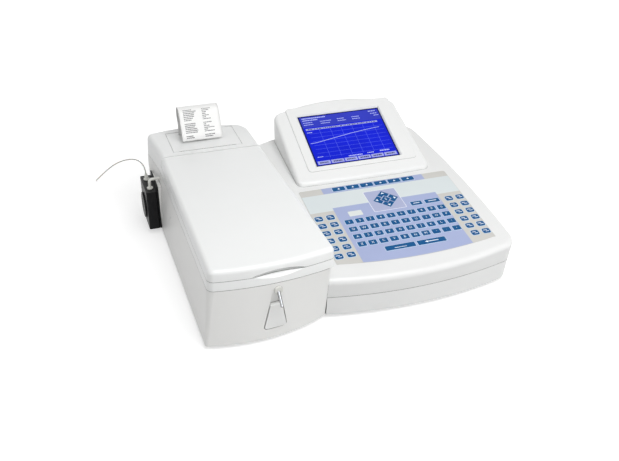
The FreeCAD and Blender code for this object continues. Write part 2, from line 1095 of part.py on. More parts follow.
def ledge_rear():
    return cover_axis()[0] - cover_lug_r - cover_swing


def cover_lug_spans():
    left = cover_x0 + body_gap
    right = cover_x1 - body_gap
    return [(left, left + cover_lug_width), (right - cover_lug_width, right)]


def cover_pin_span(x0, x1):
    if x0 < tower_rear_x:
        return x0 - body_gap - cheek, x1
    return x0, x1 + body_gap + cheek


def upper_housing():
    block = tower_upper()
    deck = lifted(seam_low, deck_height_over_seam)
    inner = tower_loft(seam_level - upper_start, loft_top, 0.0, wall)
    shell = block.cut(before(printer_front).common(slab(seam_high, top_plane())))
    under_deck = inner.common(slab(bottom_plane(), lifted(deck, -deck_plate))).common(before(printer_front))
    over_deck = inner.common(slab(deck, top_plane())).common(before(printer_front))
    rear_room = inner.common(behind(printer_front + wall))
    rear_room = rear_room.common(slab(bottom_plane(), thickness_drop(tower_top, wall)))
    body = cut_all(shell, [under_deck, over_deck, rear_room])
    keep = finger_backing().common(block).common(slab(lifted(deck, -deck_plate), seam_high))
    adds = [keep]
    y_axis, z_axis = lid_axis()
    for x0, x1 in hinge_places():
        foot = plane_height(deck, y_axis) - deck_plate / 2
        post = rod(x0, y_axis, z_axis, hinge_post_r, x1 - x0, X_AXIS)
        column = box(x0, y_axis - hinge_post_r, foot, x1, y_axis + hinge_post_back, z_axis)
        adds.append(fused([post, column]))
    ledge_top = thickness_drop(tower_top, cover_plate)
    ledge = bay_box(cheek, -far).common(slab(lifted(ledge_top, -bay_ledge_thickness), ledge_top))
    y_cover, z_cover = cover_axis()
    ledge = ledge.common(before(ledge_rear()))
    adds.append(ledge)
    for x0, x1 in cover_lug_spans():
        low, high = cover_pin_span(x0, x1)
        face = low if x0 < tower_rear_x else x1 + body_gap
        plate = box(
            face,
            y_cover - cheek_reach,
            z_cover - cheek_reach,
            face + cheek,
            y_cover + cheek_reach + cheek,
            loft_top,
        )
        adds.append(plate.common(slab(bottom_plane(), thickness_drop(tower_top, wall / 2))))
    body = fused([body] + adds)
    under_cover = z_cover - cheek_reach
    cutters = [
        finger_scoop(),
        bay_box(0.0, under_cover).cut(slab(bottom_plane(), ledge_top)),
        bay_box(-bay_ledge, under_cover),
        bay_box(0.0, under_cover).common(behind(ledge_rear())),
        box(well_x0, well_y0, -far, well_x1, well_y1, plane_height(deck, well_y1) + overrun),
    ]
    for post in hinge_places():
        x0 = post[0] - overrun
        cutters.append(rod(x0, y_axis, z_axis, pin_r, hinge_post_width + 2 * overrun, X_AXIS))
    for x0, x1 in cover_lug_spans():
        low, high = cover_pin_span(x0, x1)
        cutters.append(rod(low, y_cover, z_cover, pin_r, high - low, X_AXIS))
    return cut_all(body, cutters)


def printer_cover():
    top = tower_top
    gap = body_gap
    plate = box(cover_x0 + gap, cover_front + gap, -far, cover_x1 - gap, cover_rear - cover_rear_gap, far)
    plate = plate.common(slab(thickness_drop(top, cover_plate), top))
    rear_edge = edges_on(
        plate,
        lambda c: abs(c.y - cover_rear + cover_rear_gap) < edge_reach and near_plane(top, c, edge_reach),
    )
    plate = plate.makeFillet(cover_rear_fillet, rear_edge)
    lip = box(
        cover_x0 + cover_lip_inset,
        cover_front + gap,
        -far,
        cover_x1 - cover_lip_inset,
        cover_front + gap + cover_lip_depth,
        far,
    ).common(slab(thickness_drop(top, cover_plate / 2), lifted(top, cover_lip)))
    y_axis, z_axis = cover_axis()
    adds = [plate, lip]
    cutters = []
    for x0, x1 in cover_lug_spans():
        lug = rod(x0, y_axis, z_axis, cover_lug_r, x1 - x0, X_AXIS)
        web = box(x0, y_axis - cover_lug_r, z_axis, x1, y_axis + cover_lug_r, far)
        adds.append(fused([lug, web]).common(slab(bottom_plane(), thickness_drop(top, cover_plate / 2))))
        cutters.append(rod(x0 - overrun, y_axis, z_axis, pin_r + fit_gap, x1 - x0 + 2 * overrun, X_AXIS))
    slot_y = cover_rear - slot_inset
    slot_x0 = paper_x - slot_margin
    slot_x1 = paper_x + paper_width + slot_margin
    cutters.append(box(slot_x0, slot_y - slot_width / 2, -far, slot_x1, slot_y + slot_width / 2, far))
    return cut_all(fused(adds), cutters)


def paper_strip():
    y = cover_rear - slot_inset
    z = plane_height(tower_top, y)
    points = [(paper_x, y, z - paper_below)] + [(paper_x, y + dy, z + dz) for dy, dz in strip_points]
    path, bends = smooth_path(points, strip_bend_share)
    half = paper_thickness / 2
    corners = [
        V(paper_x, y - half, z - paper_below),
        V(paper_x + paper_width, y - half, z - paper_below),
        V(paper_x + paper_width, y + half, z - paper_below),
        V(paper_x, y + half, z - paper_below),
    ]
    section = Part.makePolygon(corners + [corners[0]])
    return path.makePipeShell([section], True, False)


# Shapes of the niche, key and needle are drawn from the front wall's line at the seam
def in_niche(shape):
    seam_y = front_wall_y(needle_x, seam_level)
    foot_y = front_wall_y(needle_x, foot_height)
    lean = math.degrees(math.atan2(foot_y - seam_y, seam_level - foot_height))
    placed = shape.copy()
    placed.rotate(V(0, 0, 0), X_AXIS, lean)
    placed.rotate(V(0, 0, 0), Z_AXIS, niche_turn_deg)
    placed.translate(V(needle_x, seam_y, seam_level))
    return placed


def niche_sides(z, side):
    low = foot_height - seam_level
    left = blend(niche_bottom_left, niche_top_left, z, low, -niche_below_seam) + side
    right = blend(niche_bottom_right, niche_top_right, z, low, -niche_below_seam) + side
    return left, right


def niche_foot():
    return key_top_below_seam + key_length + key_side_gap


def niche_prism(z0, z1, side, y0, y1, corner):
    left1, right1 = niche_sides(z1, side)
    left0, right0 = niche_sides(z0, side)
    prism = prism_y([(-left0, z0), (right0, z0), (right1, z1), (-left1, z1)], y0, y1)
    middle = (y0 + y1) / 2
    low = edges_on(prism, lambda c: abs(c.z - z0) < edge_reach and abs(c.y - middle) < edge_reach)
    return prism.makeFillet(corner, low)


def niche_shape(side, depth):
    corner = paddle_corner + key_side_gap + side
    return niche_prism(-niche_foot() - side, side - niche_below_seam, side, -far, depth, corner)


def key_pin_rod(radius, out):
    z = -key_top_below_seam - key_pin_drop
    left, right = niche_sides(z, -key_side_gap)
    return rod(-left - out, key_pin_back - key_proud, z, radius, left + right + 2 * out, X_AXIS)


def aspirate_key():
    z1 = -key_top_below_seam
    z0 = z1 - key_length
    front = niche_prism(z0, z1, -key_side_gap, -key_proud, key_thick_top, paddle_corner)
    side = prism_x(
        [
            (-key_proud, z0),
            (-key_proud, z1 - key_nose),
            (key_nose - key_proud, z1),
            (key_thick_top - key_proud, z1),
            (key_thick_top - key_proud, z1 - key_hub),
            (key_thick_bottom - key_proud, z1 - key_hub - key_nose),
            (key_thick_bottom - key_proud, z0),
        ],
        -far,
        far,
    )
    return in_niche(fused([front.common(side), key_pin_rod(key_pin_r, key_pin_out)]))


def aspirate_switch():
    z = -key_top_below_seam - switch_drop
    half_w = switch_body_w / 2
    half_h = switch_body_h / 2
    housing = box(
        -half_w, niche_wall_depth, z - half_h, half_w, niche_wall_depth + switch_body_d, z + half_h
    )
    plunger = rod(0, niche_depth - plunger_out, z, plunger_r, niche_wall_depth + wall, Y_AXIS)
    pins = []
    for step in (-1, 0, 1):
        pin_z = z + step * half_h * switch_pin_share
        y = niche_wall_depth + switch_body_d
        pins.append(box(-wall / 2, y, pin_z - seam_gap, wall / 2, y + overrun, pin_z + seam_gap))
    return in_niche(fused([housing, plunger] + pins))


def needle_axis():
    y = front_wall_y(needle_x, seam_level - needle_below_seam)
    tilt = math.radians(needle_tilt_deg)
    return V(needle_x, y, seam_level - needle_below_seam), V(0, -math.cos(tilt), -math.sin(tilt))


def needle_rod(radius):
    middle, way = needle_axis()
    return Part.makeCylinder(radius, needle_in + needle_out, middle - way * needle_in, way)


def needle_boss(casing):
    z = -needle_below_seam
    head = rod(0, -boss_out, z, boss_r, boss_out + wall / 2, Y_AXIS)
    spigot = rod(0, 0, z, boss_spigot_r, boss_in, Y_AXIS)
    middle, way = needle_axis()
    bore = Part.makeCylinder(needle_r, 2 * needle_out, middle - way * needle_out, way)
    return cut_all(in_niche(fused([head, spigot])), [casing, bore])


def sipper_needle():
    return needle_rod(needle_r).cut(needle_rod(needle_bore))


# Thermal printer under the hump
def roof_under(y):
    return plane_height(thickness_drop(tower_top, wall), y)


def roll_height():
    return plane_height(tower_top, roll_y) - roll_drop


def platen_place():
    y = cover_rear - slot_inset - platen_ahead
    return y, plane_height(tower_top, cover_rear - slot_inset) - platen_drop


def cheek_places():
    left = paper_x - roll_side_gap - bucket_wall
    right = paper_x + paper_width + roll_side_gap
    return left, right


def pinion_place():
    y, z = platen_place()
    return y, z - gear_module * (platen_teeth + pinion_teeth) / 2


def printer_frame():
    y_platen, z_platen = platen_place()
    z_roll = roll_height()
    y_cover, z_cover = cover_axis()
    floor = z_roll - roll_r - body_gap - bucket_wall
    room_front = cover_front - cheek - body_gap
    front = room_front - bucket_wall
    rear = cover_rear + cheek_rear
    left, right = cheek_places()
    outer_r = roll_r + body_gap + bucket_wall
    cheek_side = [
        (front, roof_under(front)),
        (front, z_roll),
        (roll_y - outer_r / 2, floor),
        (roll_y + outer_r / 2, floor),
        (rear, z_platen - head_height),
        (rear, roof_under(rear)),
    ]
    room = [
        (room_front, far),
        (room_front, roof_under(cover_front) - bay_ledge_thickness - body_gap),
        (cover_rear, roof_under(cover_rear) - bay_ledge_thickness - body_gap),
        (cover_rear, far),
    ]
    swing = rod(-far, y_cover, z_cover, paper_below + cover_swing, 2 * far, X_AXIS)
    cheeks = []
    for x in (left, right):
        plate = prism_x(cheek_side, x, x + bucket_wall)
        cheeks.append(plate.cut(prism_x(room, x, x + bucket_wall)).cut(swing))
    bucket = rod(left, roll_y, z_roll, outer_r, right + bucket_wall - left, X_AXIS)
    bucket = bucket.common(box(left, -far, -far, right + bucket_wall, far, z_roll))
    room_width = right - left - bucket_wall
    bucket = bucket.cut(rod(left + bucket_wall, roll_y, z_roll, roll_r + body_gap, room_width, X_AXIS))
    bracket_y = head_y() + head_thickness
    bracket_top = z_platen + head_height / 2
    bracket = box(left, bracket_y, z_platen - head_height, right, bracket_y + bucket_wall, bracket_top)
    body = fused(cheeks + [bucket, bracket])
    y_pinion, z_pinion = pinion_place()
    cutters = [
        rod(left - overrun, y_platen, z_platen, platen_shaft_r + fit_gap, right - left + 3 * overrun, X_AXIS),
        rod(right - overrun, y_pinion, z_pinion, motor_shaft_r + body_gap, 3 * overrun, X_AXIS),
    ]
    return cut_all(body, cutters)


def head_y():
    return platen_place()[0] + platen_r + body_gap


def print_head():
    y = head_y()
    z = platen_place()[1]
    half = head_height / 2
    left, right = cheek_places()
    plate = box(
        left + bucket_wall + body_gap,
        y,
        z - half,
        right - body_gap,
        y + head_thickness,
        z + half,
    )
    nose = edges_on(plate, lambda c: abs(c.y - y) < edge_reach and abs(abs(c.z - z) - half) < edge_reach)
    return plate.makeFillet(head_thickness / 2, nose)


# A gear on the X axis, its first tooth turned from +Y toward +Z by first_deg
def gear_disc(y, z, teeth, x0, width, first_deg):
    pitch_r = gear_module * teeth / 2
    root_r = pitch_r - gear_slack_share * gear_module
    pitch_deg = 360 / teeth
    base_half = math.radians(pitch_deg * tooth_share) / 2 * pitch_r + gear_module * tooth_tip_share
    tip_half = base_half - gear_module * tooth_share
    shapes = [rod(x0, y, z, root_r, width, X_AXIS)]
    for index in range(teeth):
        tooth = prism_x(
            [
                (y + root_r - gear_module, z - base_half),
                (y + pitch_r + gear_module * (1 - tooth_tip_share), z - tip_half),
                (y + pitch_r + gear_module * (1 - tooth_tip_share), z + tip_half),
                (y + root_r - gear_module, z + base_half),
            ],
            x0,
            x0 + width,
        )
        tooth.rotate(V(x0, y, z), X_AXIS, first_deg + index * pitch_deg)
        shapes.append(tooth)
    return fused(shapes)


def gear_x():
    return cheek_places()[1] + bucket_wall + body_gap


def platen_roller():
    y, z = platen_place()
    left, right = cheek_places()
    roller = rod(paper_x, y, z, platen_r, paper_width, X_AXIS)
    shaft = rod(left - body_gap, y, z, platen_shaft_r, gear_x() + gear_width + body_gap - left, X_AXIS)
    gear = gear_disc(y, z, platen_teeth, gear_x(), gear_width, -90)
    return fused([roller, shaft, gear])


def motor_pinion():
    y, z = pinion_place()
    gear = gear_disc(y, z - gear_backlash, pinion_teeth, gear_x(), gear_width, 90 + 180 / pinion_teeth)
    length = gear_width + body_gap + bucket_wall + motor_shaft_in
    shaft = rod(gear_x() + gear_width - length, y, z - gear_backlash, motor_shaft_r, length, X_AXIS)
    return fused([gear, shaft])


def printer_motor():
    y, z = pinion_place()
    right = cheek_places()[1]
    length = printer_motor_length
    can = rod(right - length, y, z - gear_backlash, printer_motor_r, length, X_AXIS)
    ear = rounded_block(
        right - bucket_wall,
        y - printer_motor_r - body_gap,
        z - printer_motor_r - overrun,
        right,
        y + printer_motor_r + body_gap,
        z,
        least_corner / 2,
    )
    bore = rod(right - motor_shaft_in - overrun, y, z - gear_backlash, motor_shaft_r + fit_gap, far, X_AXIS)
    return cut_all(fused([can, ear]), [bore])


def paper_roll():
    roll = rod(paper_x, roll_y, roll_height(), roll_r, paper_width, X_AXIS)
    core = rod(paper_x - overrun, roll_y, roll_height(), roll_core_r, paper_width + 2 * overrun, X_AXIS)
    return roll.cut(core)


# Peristaltic pump on the left wall
def pump_middle():
    return (pump_y0 + pump_y1) / 2


def pump_face():
    return tower_left_bottom - pump_plate


def tube_x():
    return pump_face() - pump_out / 2


def cavity_r():
    return tube_track_r + pump_tube_r + seat_gap


def leg_y(side):
    return pump_middle() + side * tube_track_r


def elbow_y():
    return leg_y(-1)


def elbow_z():
    return pump_z1 + fitting_flange + elbow_height


def pump_plate_piece():
    x = tower_left_bottom
    plate = rounded_block(
        x - pump_plate, pump_y0, pump_z0, x, pump_y1, pump_plate_top, least_corner / 2
    )
    return plate.cut(rod(-far, pump_middle(), rotor_z, pump_motor_seat, far * 2, X_AXIS))


def tube_channel(radius):
    y0 = leg_y(-1)
    y1 = leg_y(1)
    x = tube_x()
    bottom = V(x, pump_middle(), rotor_z - tube_track_r)
    edges = [
        Part.makeLine(V(x, y0, pump_z1 + fitting_flange), V(x, y0, rotor_z)),
        Part.Arc(V(x, y0, rotor_z), bottom, V(x, y1, rotor_z)).toShape(),
        Part.makeLine(V(x, y1, rotor_z), V(x, y1, pump_z1 + fitting_flange)),
    ]
    ring = Part.Wire(Part.makeCircle(radius, V(x, y0, pump_z1 + fitting_flange), Z_AXIS))
    return Part.Wire(edges).makePipeShell([ring], True, False)


def pump_block(z0, z1):
    x1 = pump_face()
    x0 = x1 - pump_out
    block = rounded_block(x0, pump_y0, z0, x1, pump_y1, z1, pump_corner)
    y = pump_middle()
    room = rod(x0 - overrun, y, rotor_z, cavity_r(), pump_out + overrun - cavity_floor, X_AXIS)
    shaft = rod(x0, y, rotor_z, pump_motor_seat, 2 * pump_out, X_AXIS)
    legs = [
        rod(tube_x(), leg_y(side), rotor_z, pump_tube_r + seat_gap, far, Z_AXIS) for side in (-1, 1)
    ]
    return cut_all(block, [room, shaft] + legs)


def pump_body():
    return pump_block(pump_z0, pump_split)


def pump_clamp():
    return pump_block(pump_split, pump_z1)


def pump_tube():
    outer = tube_channel(pump_tube_r)
    return outer.cut(tube_channel(pump_tube_bore))


def rotor_face():
    return pump_face() - pump_out - body_gap


def pump_rotor():
    y = pump_middle()
    x_cap = rotor_face() - rotor_cap
    x_floor = pump_face() - cavity_floor - body_gap
    hub = rod(x_cap, y, rotor_z, rotor_hub_r, x_floor - x_cap, X_AXIS)
    cap = rod(x_cap, y, rotor_z, rotor_cap_r, rotor_cap, X_AXIS)
    rim = edges_on(cap, lambda c: abs(c.x - x_cap) < edge_reach)
    cap = cap.makeFillet(rotor_cap / 3, rim)
    plate = rod(x_floor - rotor_plate, y, rotor_z, rotor_disc_r, rotor_plate, X_AXIS)
    shaft = rod(x_cap, y, rotor_z, rotor_shaft_r, rotor_shaft_end() - x_cap, X_AXIS)
    shapes = [hub, cap, plate, shaft]
    for index in range(roller_count):
        y_pin, z_pin = roller_place(index)
        shapes.append(rod(x_cap, y_pin, z_pin, roller_pin_r, x_floor - x_cap, X_AXIS))
    body = fused(shapes)
    reach = rotor_cap_r * grip_share
    half = rotor_hub_r / 2
    grip = box(x_cap, y - half, rotor_z - reach, x_cap + rotor_cap / 3, y + half, rotor_z + reach)
    return cut_all(body, [grip])


def roller_place(index):
    angle = math.radians(roller_first_deg + index * 360 / roller_count)
    return (
        pump_middle() + roller_pitch_r * math.cos(angle),
        rotor_z + roller_pitch_r * math.sin(angle),
    )


def pump_roller(index):
    y, z = roller_place(index)
    x0 = rotor_face() + body_gap
    x1 = pump_face() - cavity_floor - rotor_plate - 2 * body_gap
    outer = rod(x0, y, z, roller_r, x1 - x0, X_AXIS)
    return outer.cut(rod(x0, y, z, roller_pin_r + fit_gap, x1 - x0, X_AXIS))


def rotor_shaft_end():
    return tower_left_bottom + pump_motor_nose + rotor_shaft_in


def pump_motor():
    y = pump_middle()
    x0 = tower_left_seam + wall
    nose = rod(pump_face() - cavity_floor + fit_gap, y, rotor_z, pump_motor_seat - seat_gap, far, X_AXIS)
    nose = nose.common(box(-far, -far, -far, x0 + wall, far, far))
    can = rod(x0, y, rotor_z, pump_motor_r, pump_motor_length, X_AXIS)
    step = rod(x0 + pump_motor_length, y, rotor_z, pump_motor_r / 2, overrun, X_AXIS)
    bore = rod(-far, y, rotor_z, rotor_shaft_r + fit_gap, far + rotor_shaft_end() + body_gap, X_AXIS)
    return cut_all(fused([nose, can, step]), [bore])


def flange_at(y):
    return rod(tube_x(), y, pump_z1, fitting_flange_r, fitting_flange, Z_AXIS)


def inlet_fitting():
    y = leg_y(-1)
    z0 = pump_z1
    top = elbow_z()
    points = [(tube_x(), y, z0 + fitting_flange), (tube_x(), y, top), (elbow_end_x(), y, top)]
    elbow, path, bends = tube_along(points, fitting_r, elbow_bend_share)
    bore = rod(tube_x(), y, z0 - overrun, pump_tube_r, overrun + fitting_flange, Z_AXIS)
    return cut_all(fused([flange_at(y), elbow]), [bore])


def elbow_end_x():
    return tower_left_seam + wall + elbow_in


def outlet_fitting():
    y = leg_y(1)
    tip = V(*waste_route[0])
    base = V(tube_x(), y, pump_z1 + fitting_flange)
    way = tip - base
    cone = Part.makeCone(cone_base_r, cone_tip_r, way.Length, base, way)
    bore = rod(tube_x(), y, pump_z1 - overrun, pump_tube_r, overrun + fitting_flange, Z_AXIS)
    return cut_all(fused([flange_at(y), cone]), [bore])


def waste_tube():
    return tube_along(waste_route, waste_r, waste_bend_share)


# Optical bench in the tower
def floor_top():
    return foot_height + wall


def optical_bench():
    plate = rounded_block(bench_x0, bench_y0, bench_z, bench_x1, bench_y1, bench_top(), bench_post_r)
    posts = []
    for x in (bench_x0 + bench_post_inset, bench_x1 - bench_post_inset):
        for y in (bench_y0 + bench_post_inset, bench_y1 - bench_post_inset):
            height = bench_z + bench_plate / 2 - floor_top()
            posts.append(rod(x, y, floor_top(), bench_post_r, height, Z_AXIS))
    return fused([plate] + posts)


def bench_top():
    return bench_z + bench_plate


def lamp_housing():
    x0 = light_x - lamp_house_w / 2
    x1 = light_x + lamp_house_w / 2
    y1 = lamp_house_y + lamp_house_d
    block = box(x0, lamp_house_y, bench_top(), x1, y1, lamp_house_top)
    pitch = lamp_house_w / fin_count
    bore_length = lamp_length + lamp_seat + overrun
    cutters = [rod(light_x, lamp_house_y - overrun, light_z, lamp_bore_r, bore_length, Y_AXIS)]
    for index in range(fin_count):
        x = x0 + (index + fin_start_share) * pitch
        fin_foot = lamp_house_top - fin_depth
        cutters.append(box(x, lamp_house_y + wall, fin_foot, x + pitch / 2, y1 + overrun, far))
        cutters.append(box(x, y1 - fin_depth, bench_top() + wall, x + pitch / 2, y1 + overrun, far))
    return cut_all(block, cutters)


def lamp():
    end = lamp_house_y + lamp_length + lamp_seat
    cap = rod(light_x, end - lamp_cap, light_z, lamp_cap_r, lamp_cap, Y_AXIS)
    glass = rod(light_x, end - lamp_length, light_z, lamp_r, lamp_length - lamp_cap / 2, Y_AXIS)
    dome = edges_on(glass, lambda c: abs(c.y - end + lamp_length) < edge_reach)
    return fused([cap, glass.makeFillet(lamp_r * dome_share, dome)])


def lens_barrel():
    length = lamp_house_y - lens_y0
    barrel = rod(light_x, lens_y0, light_z, lens_r, length, Y_AXIS)
    bore = rod(light_x, lens_y0 - overrun, light_z, lens_bore_r, length + 2 * overrun, Y_AXIS)
    foot = box(
        light_x - lens_foot / 2,
        lens_y0 + wall,
        bench_top(),
        light_x + lens_foot / 2,
        lamp_house_y - wall,
        light_z,
    )
    ring = rod(light_x, lens_y0, light_z, lens_r + wall / 2, wall, Y_AXIS)
    body = fused([barrel, foot, ring]).cut(bore)
    lens = rod(light_x, lens_y0 + length / 2, light_z, lens_bore_r + wall / 2, wall, Y_AXIS)
    return fused([body, lens])


def wheel_x():
    return light_x + filter_pitch_r


def filter_places():
    places = []
    for index in range(filter_count):
        angle = math.pi + 2 * math.pi * index / filter_count
        x = wheel_x() + filter_pitch_r * math.cos(angle)
        places.append((x, light_z + filter_pitch_r * math.sin(angle)))
    return places


def filter_wheel():
    y0 = wheel_y - wheel_thickness / 2
    disc = rod(wheel_x(), y0, light_z, wheel_r, wheel_thickness, Y_AXIS)
    hub = rod(wheel_x(), y0 - overrun, light_z, wheel_hub_r, wheel_thickness + 2 * overrun, Y_AXIS)
    shaft_length = filter_shaft_in + overrun
    shaft = rod(wheel_x(), y0 - shaft_length, light_z, wheel_shaft_r, shaft_length, Y_AXIS)
    body = fused([disc, hub, shaft])
    holes = []
    for x, z in filter_places():
        seat_y = y0 + (wheel_thickness - filter_thickness) / 2
        holes.append(rod(x, seat_y, z, filter_r, wheel_thickness, Y_AXIS))
        holes.append(rod(x, y0 - overrun, z, filter_r - wall / 2, wheel_thickness, Y_AXIS))
    return cut_all(body, holes)


def filters():
    y0 = wheel_y - filter_thickness / 2
    return gathered([rod(x, y0, z, filter_r, filter_thickness, Y_AXIS) for x, z in filter_places()])


def motor_face():
    return wheel_y - wheel_thickness / 2 - overrun - body_gap


def filter_motor():
    y1 = motor_face()
    can = rod(wheel_x(), y1 - filter_motor_length, light_z, filter_motor_r, filter_motor_length, Y_AXIS)
    foot = box(
        wheel_x() - filter_motor_foot / 2,
        y1 - filter_motor_length + wall,
        bench_top(),
        wheel_x() + filter_motor_foot / 2,
        y1 - wall,
        light_z,
    )
    bore = rod(wheel_x(), y1 - filter_shaft_in - overrun, light_z, wheel_shaft_r + fit_gap, far, Y_AXIS)
    return cut_all(fused([can, foot]), [bore])


def cell_ports():
    y_mid = cell_y + cell_d / 2
    return y_mid - cell_port_pitch / 2, y_mid + cell_port_pitch / 2


def flow_cell_block():
    block = box(light_x - cell_w / 2, cell_y, bench_top(), light_x + cell_w / 2, cell_y + cell_d, cell_top)
    cutters = [rod(light_x, cell_y - overrun, light_z, cell_bore_r, cell_d + 2 * overrun, Y_AXIS)]
    for y in cell_ports():
        cutters.append(rod(light_x, y, light_z + cell_bore_r + wall, sample_tube_r + seat_gap, far, Z_AXIS))
    return cut_all(block, cutters)


def detector_board():
    y1 = cell_y - body_gap
    x_mid = light_x + detector_shift
    board = box(
        x_mid - detector_w / 2,
        y1 - detector_can - detector_board_t,
        bench_top(),
        x_mid + detector_w / 2,
        y1 - detector_can,
        bench_top() + detector_h,
    )
    can = rod(light_x, y1 - detector_can, light_z, detector_can_r, detector_can, Y_AXIS)
    foot = box(
        x_mid - detector_w / 2,
        y1 - detector_can - detector_board_t - detector_foot,
        bench_top(),
        x_mid + detector_w / 2,
        y1 - detector_can - detector_board_t,
        bench_top() + detector_board_t,
    )
    chips = []
    for share_x, share_z, share_w, share_h in chip_shares:
        x = x_mid + (share_x - 0.5) * detector_w
        z = bench_top() + share_z * detector_h
        y = y1 - detector_can - detector_board_t
        chips.append(
            box(x, y - chip_h / 2, z, x + share_w * detector_w / 2, y, z + share_h * detector_h / 2)
        )
    return fused([board, can, foot] + chips)


def sample_tubing():
    middle, way = needle_axis()
    inner_end = middle - way * needle_in
    second = inner_end - way * needle_hose
    port_z = light_z + cell_bore_r + wall + sample_tube_r
    y_front, y_rear = cell_ports()
    first_route = [tuple(inner_end), tuple(second)] + needle_route
    first_route += [(light_x, y_front, port_high), (light_x, y_front, port_z)]
    second_route = [(elbow_end_x(), elbow_y(), elbow_z())] + pump_side_route
    second_route += [(light_x, y_rear, port_high), (light_x, y_rear, port_z)]
    tubes = []
    for route in (first_route, second_route):
        tube, path, bends = tube_along(route, sample_tube_r, sample_bend_share)
        tubes.append(tube)
    return gathered(tubes)


# Console
def tower_room(outset):
    return tower_loft(seam_level - upper_start, loft_top, 0.0, -outset)


def console_step_loft():
    return console_loft([console_seam, loft_top])


def console_base():
    outer = console_loft([foot_height, console_seam])
    low = outer.common(slab(bottom_plane(), (console_seam - seam_gap, 0)))
    ring = console_loft([foot_height, console_seam], seam_step)
    inside = console_loft([foot_height, console_seam], wall)
    body = fused([low, ring]).cut(inside.common(slab((floor_top(), 0), top_plane())))
    posts = []
    for x, y in board_corners():
        posts.append(rod(x, y, floor_top() - wall / 2, board_post_r, board_rise + wall / 2, Z_AXIS))
    return fused([body] + posts)


def board_corners():
    inset = board_post_inset
    sides = (board_x0 + inset, board_x1 - inset)
    return [(x, y) for x in sides for y in (board_y0 + inset, board_y1 - inset)]


def console_top():
    outer = console_step_loft().common(slab((console_seam, 0), deck_plane()))
    deck_edges = edges_on(
        outer, lambda c: near_plane(deck_plane(), c, edge_reach) and c.x > tower_right + seam_gap * 4
    )
    outer = outer.makeFillet(deck_fillet, deck_edges)
    inside = console_loft([console_seam, loft_top], wall)
    inside = inside.common(slab(bottom_plane(), thickness_drop(deck_plane(), wall)))
    body = outer.cut(inside)
    pocket = tower_room(tower_clearance).common(slab(seam_low, top_plane()))
    pad_seat = on_deck(pad_outline(seat_gap, -pad_recess, far))
    hole = box(
        screen_mid_x() - cable_hole_w / 2,
        cable_hole_y,
        -far,
        screen_mid_x() + cable_hole_w / 2,
        cable_hole_y + cable_hole_d,
        far,
    ).common(slab((console_seam + wall, 0), top_plane()))
    seat = box(panel_x0, panel_y, panel_z0, panel_x1, far, panel_z1)
    body = fused([body, panel_surround()])
    cutters = [pocket, pad_seat, hole, seat]
    for x, z in screw_places():
        cutters.append(rod(x, panel_y - screw_length, z, screw_r, screw_length, Y_AXIS))
    return cut_all(body, cutters)


# The frame that the rear panel sits in, with a lip behind the panel at each end
def panel_surround():
    block = box(
        panel_x0 - panel_frame,
        panel_y - panel_frame - wall,
        panel_z0 - panel_frame / 2,
        panel_x1 + panel_frame,
        far,
        panel_z1 + panel_frame / 2,
    )
    block = block.common(console_loft([console_seam, loft_top], wall / 2))
    block = block.common(slab((console_seam, 0), thickness_drop(deck_plane(), wall / 2)))
    room = box(
        panel_x0 + panel_lip_x,
        -far,
        panel_z0 + panel_lip_z,
        panel_x1 - panel_lip_x,
        far,
        panel_z1 - panel_lip_z,
    )
    return block.cut(room)


def screw_places():
    inset = screw_inset
    sides = (panel_x0 + inset, panel_x1 - inset)
    return [(x, z) for x in sides for z in (panel_z0 + inset, panel_z1 - inset)]


def screen_mid_x():
    return screen_x + display_w / 2


def pad_outline(gap, z0, z1):
    left = line_side(0.0, 0.0, 0.0, -pad_side)
    right = line_side(pad_width, -pad_side, pad_width, 0.0)
    half = pad_width / 2
    radius = (half ** 2 + pad_bulge ** 2) / (2 * pad_bulge)
    front = ("arc", (half, -pad_side - pad_bulge + radius), radius)
    rear = line_side(pad_width, 0.0, 0.0, 0.0)
    sides = [front, right, rear, left]
    corners = [(pad_width, -pad_side), (pad_width, 0.0), (0.0, 0.0), (0.0, -pad_side)]
    wire = rounded_wire(sides, [pad_corner] * len(sides), corners, z0, -gap)
    return Part.Face(wire).extrude(V(0, 0, z1 - z0))


def pad_top():
    return pad_thickness - pad_recess


def keypad_overlay():
    return on_deck(pad_outline(0.0, -pad_recess, pad_top()))


def key_block(x, y, width, height, corner):
    z = pad_top()
    return rounded_block(
        x - width / 2, y - height / 2, z, x + width / 2, y + height / 2, z + key_height, corner
    )


def function_keys():
    keys = []
    for index in range(function_count):
        x = function_first + index * function_pitch
        keys.append(key_block(x, function_row, function_w, function_h, key_corner))
    return on_deck(gathered(keys))


def character_keys():
    keys = []
    for row in range(char_rows):
        for column in range(char_columns):
            x = char_first_x + column * char_pitch_x
            y = char_first_y - row * char_pitch_y
            keys.append(key_block(x, y, char_w, char_h, key_corner))
    keys.append(key_block(space_x, wide_row, space_w, wide_key_h, key_corner))
    keys.append(key_block(back_x, wide_row, back_w, wide_key_h, key_corner))
    keys.append(key_block(clear_x, upper_row, clear_w, upper_key_h, key_corner))
    keys.append(key_block(enter_x, upper_row, enter_w, upper_key_h, key_corner))
    return on_deck(gathered(keys))


def side_keys():
    keys = []
    for first in (side_left_x, side_right_x):
        for column in range(side_columns):
            for row in range(side_rows):
                x = first + column * side_pitch_x
                y = side_first_y - row * side_pitch_y
                keys.append(key_block(x, y, side_w, side_h, side_corner))
    return on_deck(gathered(keys))


